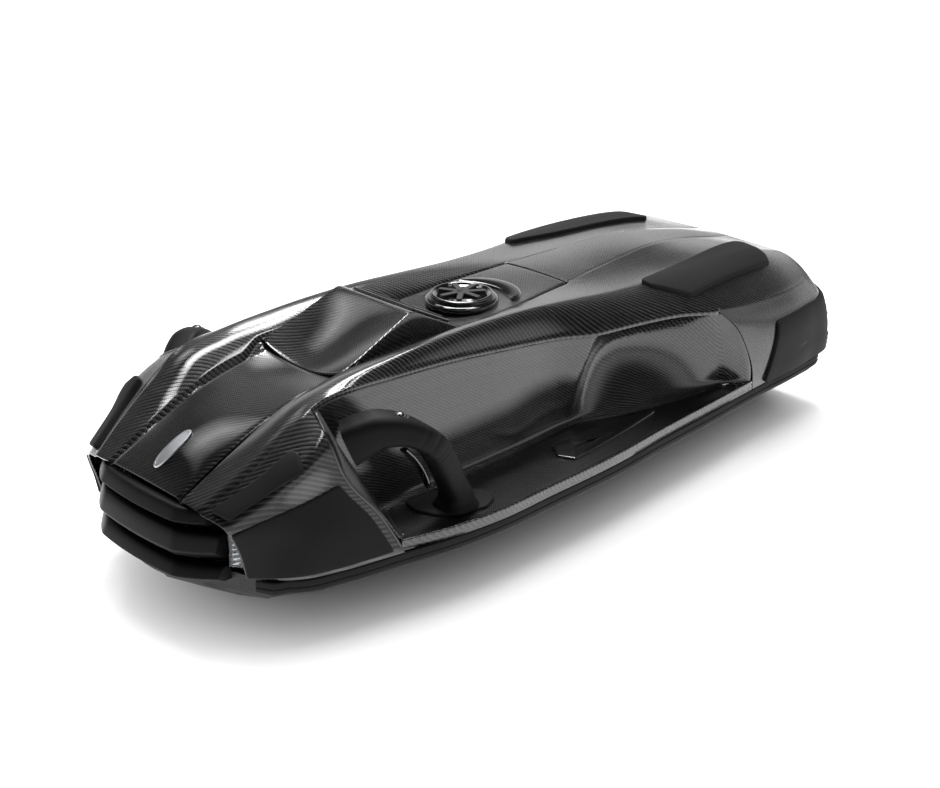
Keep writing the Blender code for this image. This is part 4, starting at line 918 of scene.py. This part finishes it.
# ---------------------------------------------------------------- rubber pads and bumpers
PAD_LEVELS = [(0, -.0014), (0, .0036), (.0005, .0048), (.0015, .0056), (.0032, .0058)]
FLANK_RUN = .16            # nominal length of a flank, for outlines given as shares
REAR_RUN = .40             # the same for the rear quarter
FLANK_DROP = .12


def over_flank(surface, sign, run, height_scale):
    """Places pad points over a flank: u runs along it and v down it, as shares times a length."""
    def place(u, v, height):
        s = clamp(u / run)
        w = clamp(v / FLANK_DROP)
        point = Vector(surface(s, w))
        along = Vector(surface(min(s + .03, 1), w)) - Vector(surface(max(s - .03, 0), w))
        down = Vector(surface(s, min(w + .04, 1))) - Vector(surface(s, max(w - .04, 0)))
        normal = along.cross(down).normalized()
        if normal.dot(Vector((point.x, point.y * .4, .12))) < 0:
            normal.negate()
        point += normal * height * height_scale
        return (sign * point.x, point.y, point.z)
    return place


def over_deck(sign=1):
    def place(u, v, height):
        return (sign * u, v, deck_z(u, v) + height)
    return place


def level_at(base_z, sign=1):
    def place(u, v, height):
        return (sign * u, v, base_z + height)
    return place


def flank_pad(name, shares, radius, surface, sign, run, height_scale, node):
    outline = round_outline([(s * run, w * FLANK_DROP) for s, w in shares], radius)
    piece = pad(name, outline, over_flank(surface, sign, run, height_scale), PAD_LEVELS)
    wear(piece, RUBBER, (node,))


def rubber_pads(side, sign):
    corners = [(.124, .206), (.142, .209), (.180, .252), (.168, .455), (.152, .469), (.094, .489),
               (.087, .478)]
    rear = pad("rear_pad_form_" + side, round_outline(corners, .006), over_deck(sign), PAD_LEVELS)
    wear(rear, RUBBER, ("rear_pad_" + side,))
    flank_pad("side_pad_form_" + side, [(.05, .05), (.68, .105), (.72, .15), (.66, .27), (.05, .26)], .004,
              front_flank, sign, FLANK_RUN, 1.0, "side_pad_" + side)
    flank_pad("nose_bumper_form_" + side, [(.012, .47), (.94, .49), (.955, .975), (.012, .975)], .0025,
              front_flank, sign, FLANK_RUN, .8, "nose_bumper_" + side)
    flank_pad("rear_bumper_form_" + side,
              [(.175, .94), (.235, .30), (.56, .27), (.74, .31), (.74, .975), (.19, .975)],
              (.004, .010, .03, .006, .004, .003), rear_flank, sign, REAR_RUN, .85, "rear_bumper_" + side)


def rail(side, sign):
    """The rubber band round the widest line, with a shallow channel along it."""
    low = BAND_BOTTOM_Z
    high = RAIL_Z - .0010
    middle = (low + high) / 2
    profile = [(-.0026, high), (-.0014, high), (-.0004, high - .0012), (0, high - .0040), (0, middle + .0018),
               (-.0009, middle + .0010), (-.0009, middle - .0010), (0, middle - .0018), (-.0002, low + .0040),
               (-.0010, low + .0010), (-.0020, low), (-.0026, low)]
    sections = []
    for y in [-.510] + steps(-.500, .530, .008):
        width = float(plan_line(y)[0])
        widening = float(plan_line(min(y + .004, .56))[0]) - float(plan_line(y - .004)[0])
        outward = Vector((.008, -widening, 0)).normalized()
        outer = Vector((width, y, 0))
        sections.append([(outer.x + outward.x * d, outer.y + outward.y * d, z) for d, z in profile])
    band = closed_loft("rail_band_" + side, sections, 30.0, sign)
    wear(band, RUBBER, ("rub_rail_" + side,))


# ---------------------------------------------------------------- grips
GRIP_PATH = [(.1635, -.3700, .2290), (.1740, -.3560, .2385), (.183, -.3430, .2435), (.198, -.3200, .2405),
             (.208, -.3010, .2300), (.213, -.2810, .2110), (.2125, -.2650, .1845), (.2095, -.2510, .1570),
             (.206, -.2380, .1290), (.2055, -.2370, .1158)]
GRIP_HALF = [(.0260, .0270), (.0250, .0240), (.0225, .0205), (.0200, .0170), (.0190, .0165), (.0185, .0170),
             (.0180, .0170), (.0175, .0165), (.0185, .0175), (.0225, .0215)]
ROOT_NORMAL = Vector((.60, .705, .378)).normalized()
BUTTON = (.1975, -.3200, .2560)
TRIGGER_PIVOT = (.196, -.3130, .2120)
TRIGGER_SPINE = [(0, 0, 0), (.003, .010, -.012), (.006, .0225, -.034), (.0055, .034, -.060)]


def direction_of(curve, share, reach):
    return (Vector(curve(min(share + reach, 1))) - Vector(curve(max(share - reach, 0)))).normalized()


def square_to(along, lateral):
    return (lateral - along * lateral.dot(along)).normalized()


def grip_form(side, sign):
    """The grip's loop: a broad root with a crease, an arm, and a ribbed post on a spreading foot."""
    route = through(GRIP_PATH)
    sizes = through([(*half, i * .02) for i, half in enumerate(GRIP_HALF)])
    sections = []
    count, around = 96, 48
    for k in range(count + 1):
        share = k / count
        point = Vector(route(share))
        along = ROOT_NORMAL.lerp(direction_of(route, share, .01), smoothstep(0, .16, share)).normalized()
        along = along.lerp(Vector((0, 0, -1)), smoothstep(.92, 1, share)).normalized()
        lateral = square_to(along, Vector((.76, -.65, 0)).lerp(Vector((1, 0, 0)), min(share * 9 / 5, 1)))
        upward = lateral.cross(along).normalized()
        across, deep = map(float, sizes(share)[:2])
        flare = 1 + .16 * smoothstep(.955, 1.0, share)
        ribbed = smoothstep(.50, .54, share) * (1 - smoothstep(.86, .90, share))
        rib = .0007 * ribbed * (.5 + .5 * math.cos(2 * math.pi * share * 34))
        bands = sum(.0010 * math.exp(-((share - at) / .006) ** 2) for at in (.40, .47))
        size = 1 - (rib + bands) / .018
        crease = .0035 * (1 - smoothstep(.10, .34, share))
        line = []
        size *= flare
        outline = ring(point, across * size, deep * size, lateral, upward, around, 3.1)
        for i, p in enumerate(outline):
            half_turn = math.pi * i / around
            pull = crease * math.exp(-(math.sin(half_turn - math.pi * .35) / .10) ** 2)
            line.append(tuple(Vector(p) + (point - Vector(p)).normalized() * pull))
        sections.append(line)
    wear(closed_loft("grip_form_" + side, sections, 45.0, sign), GRIP, ("hand_grip_" + side,))


def grip_details(side, sign):
    """The thumb button with its sealing boot, and the trigger's lever."""
    hand = "left" if sign > 0 else "right"
    x, y, z = BUTTON
    boot = turned("button_boot_" + side, [(.0082, -.0006), (.0112, -.0010), (.0112, .0006), (.0104, .0016),
                                          (.0090, .0018), (.0082, .0008)], (sign * x, y, z - .0004), 48)
    wear(boot, PLASTIC)
    dome = turned("button_top_" + side, [(0, .0068), (.0030, .0066), (.0052, .0058), (.0066, .0042),
                                         (.0072, .0022), (.0076, 0), (0, 0)], (sign * x, y, z), 48)
    wear(dome, GLOSS, ("thumb_button_" + side,), "button_" + hand)
    spine = through(TRIGGER_SPINE)
    sections = []
    for i in range(31):
        share = i / 30
        along = direction_of(spine, share, .05)
        lateral = square_to(along, Vector((1, .25, 0)))
        half = (.0065 - .0015 * share) * (1 - .6 * smoothstep(.90, 1.0, share))
        waist = 1 - .22 * math.sin(math.pi * clamp((share - .2) / .7))
        sections.append(ring(Vector(TRIGGER_PIVOT) + Vector(spine(share)), half, .0030 * waist, lateral,
                             lateral.cross(along).normalized(), 24, 2.4))
    lever = closed_loft("trigger_form_" + side, sections, 50.0, sign)
    wear(lever, GLOSS, ("trigger_" + side,), "trigger_" + hand)


def foot_plate(side, sign):
    """The rubber plate under the grip's post."""
    corners = [(.152, -.276), (.156, -.233), (.184, -.190), (.206, -.182), (.226, -.190), (.235, -.212),
               (.224, -.250), (.206, -.272), (.180, -.282)]
    levels = [(0, .0003), (0, .0022), (.0005, .0032), (.0014, .0038), (.0030, .0040)]
    piece = pad("grip_base_form_" + side, round_outline(corners, .012), level_at(FLOOR_Z, sign), levels, .004)
    wear(piece, RUBBER, ("grip_base_" + side,))


def floor_trim(side, sign):
    """A glossy drain trim let into the floor: a raised rim, a dished face and a long slot."""
    corners = [(.174, -.030), (.199, -.046), (.222, -.036), (.221, -.010), (.211, .090), (.199, .165),
               (.186, .095), (.176, .020)]
    outline = dense(round_outline(corners, (.006, .008, .006, .02, .05, .003, .05, .02)), .004)
    middle = Vector((.200, .018))
    half_width, half_length = .0038, .031
    slot = []
    for point in outline:
        way = (point - middle).normalized()
        reach = way.x * half_width
        run = max(-half_length, min(half_length, way.y / max(abs(way.x), 1e-3) * half_width))
        if abs(run) >= half_length:
            reach *= .55
        slot.append(middle + Vector((reach, 0)) + Vector((run * .05, run)))
    bm = bmesh.new()
    rings = []
    for share, height in ((0, .0004), (0, .0024), (.02, .0032), (.06, .0035), (.14, .0031), (.5, .0028),
                          (.84, .0028), (.94, .0033), (1.0, .0029), (1.0, -.0002)):
        places = [a.lerp(b, share) for a, b in zip(outline, slot)]
        rings.append([bm.verts.new((sign * p.x, p.y, FLOOR_Z + height)) for p in places])
    bridge(bm, rings + rings[:1])
    bmesh.ops.recalc_face_normals(bm, faces=bm.faces)
    piece = build("floor_trim_form_" + side, bm, 40.0)
    wear(piece, GLOSS, ("floor_trim_" + side,))


# ---------------------------------------------------------------- nose
def nose_y(x):
    """Plan of the nose face: a shallow bow, then a sweep back to the cheeks."""
    x = abs(x)
    return NOSE_TIP_Y + .9 * x * x + 1.45 * max(0.0, x - .070) ** 1.35


def blade_form(name, node, z_low, z_high, set_back, reach):
    """A grille blade: a rounded brow, a flat upper face, a ledge line and a lower face leaning back."""
    profile = [(.0200, .98), (.0120, 1.0), (.0100, .97), (.0080, .86), (.0052, .55), (.0026, .12),
               (.0008, -.20), (.0002, -.30), (0, -.38), (.0006, -.46), (.0034, -.66), (.0064, -.84),
               (.0080, -.93), (.0100, -1.0), (.0200, -.98)]
    middle = (z_low + z_high) / 2
    sections = []
    for i in range(65):
        x = -reach + 2 * reach * i / 64
        half = (z_high - z_low) / 2 * (1 - .16 * (abs(x) / reach) ** 4)
        front = nose_y(x) + set_back
        sections.append([(x, front + back, middle + half * up) for back, up in profile])
    # the blades wear the darker plastic copy: painted shade of the nose
    wear(closed_loft(name, sections, 38.0), NOSE_SHADE_PLASTIC, (node,))


def perforated_screen():
    """The perforated screen behind the blades: hexagonal holes in a thin sheet."""
    bm = bmesh.new()
    pitch = .0052
    rise = pitch * .866                # from one row of holes to the next
    corner_reach = pitch * .5774       # from the middle of a cell to its corners
    hole_reach = pitch * .36
    half_width, low_z, high_z = .109, .1075, .1665
    corner_x, corner_z = .1, .157      # the sheet's top corners are cut off
    for r in range(int(.062 / rise)):
        for c in range(int(.224 / pitch)):
            cx = -.112 + pitch * (c + .5 + .5 * (r % 2))
            cz = low_z + rise * (r + .5)
            if abs(cx) > half_width or cz > (corner_z if abs(cx) > corner_x else high_z):
                continue
            cell = []
            for k in range(6):
                angle = math.radians(60 * k + 30)
                for reach in (corner_reach, hole_reach):
                    x = cx + reach * math.cos(angle)
                    y = max(nose_y(x) + .034, -.536) + .0050
                    cell.append(bm.verts.new((x, y, cz + reach * math.sin(angle))))
            outer, inner = cell[::2], cell[1::2]
            for k in range(6):
                j = (k + 1) % 6
                bm.faces.new((outer[k], outer[j], inner[j], inner[k]))
    lay_flat(bm, 0, 2)
    tidy(bm, .0003)
    wear(skin("grille_screen", bm, (0, -1, 0), .0012, 0), NOSE_SHADE_PLASTIC, ("grille_mesh",))


def lamp_form(side, sign):
    """A headlamp's stepped reflector, behind the clear lens."""
    rows = []
    for z in steps(.108, .1615, .0016):
        t = (z - .107) / (.1625 - .107)
        x_in = .1203 + .0006 * math.sin(math.pi * t)
        x_out = .1385 - .0075 * smoothstep(.45, 1, t)
        y_in = nose_y(x_in) + .012
        y_out = nose_y(x_out) + .006
        y_mid = (y_in + y_out) / 2 + .0010 * (round(t * 33) % 2)
        rows.append([(x_in, y_in + .0062, z), (x_in + (x_out - x_in) * .3, y_mid + .0072, z),
                     (x_in + (x_out - x_in) * .65, y_mid + .0066, z), (x_out, y_out + .0062, z),
                     (x_out - .001, y_out + .0112, z), (x_in, y_in + .0158, z)])
    reflector = closed_loft("lamp_reflector_" + side, rows, 25.0, sign)
    wear(reflector, PAINTED_GLINT_REFLECTOR, ("headlamp_housing_" + side,))


def badge():
    """A plain pill-shaped badge with a raised rim."""
    outline = []
    for k in range(72):
        c, s = math.cos(2 * math.pi * k / 72), math.sin(2 * math.pi * k / 72)
        x, y = .0092 * math.copysign(abs(c) ** .8, c), .0270 * math.copysign(abs(s) ** .9, s)
        outline.append(Vector((x, y - .5025)))
    levels = [(0, .0006), (0, .0022), (.0005, .0029), (.0026, .0030), (.0032, .0022), (.0048, .0021)]
    piece = pad("badge_form", outline, over_deck(), levels, .003, smooth_angle=35.0)
    wear(piece, ALUMINIUM, ("hood_badge",))


# ---------------------------------------------------------------- port, cap and crescent
def port():
    """The charging port's collar, its cap, and the knob on the cap."""
    cx, cy = CAP_CENTRE
    seat = deck_z(0, cy) + .003
    collar = turned("collar_form", [(.0364, .0060), (.0376, .0064), (.0452, .0064), (.0478, .0060),
                                    (.0494, .0048), (.0500, .0030), (.0500, -.0012), (.0382, -.0012),
                                    (.0382, -.0495), (.0356, -.0495), (.0356, .0046)], (cx, cy, seat))
    wear(collar, GLOSS, ("port_collar",))
    cap = turned("cap_form", [(0, .0094), (.0352, .0094), (.0362, .0100), (.0376, .0118), (.0394, .0126),
                              (.0412, .0125), (.0424, .0118), (.0430, .0104), (.0430, .0068), (.0340, .0068),
                              (.0340, -.0118), (0, -.0118)], (cx, cy, seat))
    wear(cap, GLOSS, ("port_cap",), "port_lid")
    spokes = 7
    outline = []
    for i in range(spokes):
        for offset, radius in ((-.38, .0110), (-.115, .0325), (-.06, .0334), (.06, .0334), (.115, .0325),
                               (.38, .0110)):
            angle = 2 * math.pi * i / spokes + offset
            outline.append(Vector((cx + radius * math.cos(angle), cy + radius * math.sin(angle))))
    levels = [(0, .0002), (0, .0026), (.0004, .0036), (.0010, .0041)]
    knob = pad("knob_form", outline, level_at(seat + .0098), levels, .004, CAP_CENTRE, 35.0)
    wear(knob, PLASTIC, ("cap_knob",), "lid_knob")


def crescent():
    """The crescent trim behind the cap, thickest in its middle."""
    cx, cy = CAP_CENTRE
    place = over_deck()
    bm = bmesh.new()
    rings = []
    last = 39
    for i in range(last + 1):
        angle = math.radians(42 + 96 * i / last)
        swell = max(math.sin(math.pi * i / last), 0) ** .5
        low = .068 - .006 * swell
        high = .070 + .018 * swell
        row = []
        for share, height in ((0, .0004), (0, .0028), (.05, .0036), (.14, .0039), (.5, .0046), (.86, .0039),
                              (.95, .0036), (1, .0028), (1, .0004)):
            radius = low + (high - low) * share
            x, y = cx + radius * math.cos(angle), cy + radius * math.sin(angle)
            row.append(bm.verts.new(place(x, y, height)))
        rings.append(row)
    bridge(bm, rings)
    bm.faces.new(rings[0])
    bm.faces.new(rings[-1])
    bmesh.ops.recalc_face_normals(bm, faces=bm.faces)
    wear(build("crescent_form", bm, 35.0), GLOSS, ("crescent_trim",))


for side, sign in SIDES:
    rubber_pads(side, sign)
    rail(side, sign)
    grip_form(side, sign)
    grip_details(side, sign)
    foot_plate(side, sign)
    floor_trim(side, sign)
    lamp_form(side, sign)
badge()
port()
crescent()
perforated_screen()
blade_form("blade_upper_form", "grille_blade_upper", .1565, .1785, .0056, .1060)
blade_form("blade_lower_form", "grille_blade_lower", .1165, .1500, .0010, .1165)
blade_form("nose_lip_form", "nose_lip", .0870, .1090, .0002, .1180)

# ---------------------------------------------------------------- CAD nodes that show as they are
SHOWN = (
    (PLASTIC, ("hull_lower", "nose_frame", "intake_grille", "pump_housing", "jet_duct", "charge_socket")),
    (ALUMINIUM, ("motor_controller", "motor_housing", "motor_mount", "stator_vanes", "jet_nozzle")),
    (RUBBER, ("battery_strap", "shaft_seal", "cap_seal", "keel_skid_L", "keel_skid_R")),
    (STEEL, ("drive_shaft", "impeller")), (LENS, ("headlamp_lens_L", "headlamp_lens_R")),
    (BATTERY, ("battery_pack",)), (GLOSS, ("display_bezel",)), (SCREEN, ("display_glass",)))
for material, names in SHOWN:
    for name in names:
        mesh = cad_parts[name].data
        mesh.materials.clear()
        mesh.materials.append(material)

# ---------------------------------------------------------------- studio
EYE = Vector((1.4513, -1.4584, 1.0245))
LOOK = Vector((-.648, .648, -.4003)).normalized()
FOCAL_WIDTHS = 1600 / 940          # focal length over the picture's width
SENSOR_MM = 36.0
HIGH_DECK = Vector((0, -.33, .27))  # what the strip lights are aimed at
STRIP_DISTANCE = 2.0
# Light from the world by height: position is half the height of a direction plus a half.
SKY = ((0.0, .02), (.47, .03), (.50, .55), (.58, .95), (.655, .80), (.70, .33), (.725, .06), (.84, .02),
       (1.0, .02))


def linked(name, data):
    obj = bpy.data.objects.new(name, data)
    bpy.context.scene.collection.objects.link(obj)
    return obj


def studio_camera():
    data = bpy.data.cameras.new("camera")
    data.sensor_width = SENSOR_MM
    data.lens = FOCAL_WIDTHS * SENSOR_MM
    data.clip_start = .05
    camera = linked("camera", data)
    camera.location = EYE
    camera.rotation_euler = LOOK.to_track_quat("-Z", "Y").to_euler()
    bpy.context.scene.camera = camera


def strip(name, first, last, breadth, radiance, shielded=()):
    """A long light between two directions as seen from the deck; the skins show it as a streak.

    Shielded pieces don't get its light, as behind a flag in a studio."""
    a, b = (HIGH_DECK + Vector(way).normalized() * STRIP_DISTANCE for way in (first, last))
    middle = (a + b) / 2
    back = (middle - HIGH_DECK).normalized()
    along = (b - a) - back * (b - a).dot(back)
    length = along.length
    along.normalize()
    data = bpy.data.lights.new(name, "AREA")
    data.shape = "RECTANGLE"
    data.size = length
    data.size_y = breadth
    data.energy = radiance * math.pi * length * breadth
    light = linked(name, data)
    axes = Matrix((along, back.cross(along), back)).transposed()
    light.matrix_world = Matrix.Translation(middle) @ axes.to_4x4()
    light.visible_camera = False
    if shielded:
        flag = bpy.data.collections.new(name + "_flag")
        for piece in shielded:
            flag.objects.link(bpy.data.objects[piece])
        for entry in flag.collection_objects:
            entry.light_linking.link_state = "EXCLUDE"
        light.light_linking.receiver_collection = flag


def floor():
    """Plain pale paper."""
    places = [-6.0 + 2.0 * k for k in range(7)]
    rows = [[(x, y, -.0002) for x in places] for y in places]
    bm = bmesh.new()
    add_grid(bm, rows, from_above(rows))
    ground = build("studio_floor", bm)
    material, tree, shader = shader_of("studio_paper", base_color=(.80, .80, .80, 1), roughness=.9,
                                       specular_ior_level=0.0)
    ground.data.materials.append(material)
    ground.visible_diffuse = False
    return ground


def studio_world():
    """Dark overhead, pale towards the horizon, dark below."""
    world = bpy.data.worlds.new("studio")
    bpy.context.scene.world = world
    world.use_nodes = True
    tree = world.node_tree
    tree.nodes.clear()
    parts = tree.nodes.new("ShaderNodeSeparateXYZ")
    ramp = tree.nodes.new("ShaderNodeValToRGB")
    back = put(tree, "ShaderNodeBackground", strength=1.0)
    tree.links.new(tree.nodes.new("ShaderNodeTexCoord").outputs["Generated"], parts.inputs[0])
    tree.links.new(times_plus(tree, parts.outputs[2], .5, .5), ramp.inputs[0])
    elements = ramp.color_ramp.elements
    elements[0].position = SKY[0][0]
    elements[1].position = SKY[-1][0]
    for position, level in SKY[1:-1]:
        elements.new(position)
    for element, (position, level) in zip(elements, SKY):
        element.color = (level, level, level, 1)
    tree.links.new(ramp.outputs[0], back.inputs["Color"])
    tree.links.new(back.outputs[0], tree.nodes.new("ShaderNodeOutputWorld").inputs["Surface"])


def backdrop():
    """A white dome behind everything, seen only by the camera."""
    bm = bmesh.new()
    bmesh.ops.create_uvsphere(bm, u_segments=32, v_segments=16, radius=5.5)
    bmesh.ops.reverse_faces(bm, faces=bm.faces)
    dome = build("studio_backdrop", bm)
    material = bpy.data.materials.new("backdrop_white")
    material.use_nodes = True
    tree = material.node_tree
    tree.nodes.clear()
    white = put(tree, "ShaderNodeEmission", strength=1.0, color=(1, 1, 1, 1))
    tree.links.new(white.outputs[0], tree.nodes.new("ShaderNodeOutputMaterial").inputs["Surface"])
    dome.data.materials.append(material)
    for part in ("visible_diffuse", "visible_glossy", "visible_shadow", "visible_transmission"):
        setattr(dome, part, False)


def floor_light(ground):
    """A broad light that falls on the floor alone, so that the paper stays white outside the shadow."""
    group = bpy.data.collections.new("lit_floor")
    group.objects.link(ground)
    data = bpy.data.lights.new("floor_light", "SUN")
    data.energy = 4.5
    data.angle = math.radians(128)
    light = linked("floor_light", data)
    light.rotation_euler = (math.radians(14), math.radians(-10), 0)
    light.light_linking.receiver_collection = group


bpy.context.scene.view_settings.view_transform = "Standard"
studio_camera()
ground = floor()
backdrop()
studio_world()
floor_light(ground)
strip("streak_outer", (-.36, -.22, .93), (-.20, .60, .80), .24, 25, ("cowl_skin", "hood_skin"))
strip("streak_inner", (.44, -.02, .90), (.04, .57, .82), .16, 21)
strip("wedge_box", (-.50, .38, .76), (-.36, .64, .68), .34, 22)
strip("hood_box", (-.66, .43, .66), (-.46, .55, .68), .36, 4.6)
strip("badge_box", (-.68, -.14, .74), (-.62, .10, .80), .34, 3.5)
strip("side_box", (.80, .05, .62), (.62, .45, .66), .34, .3)
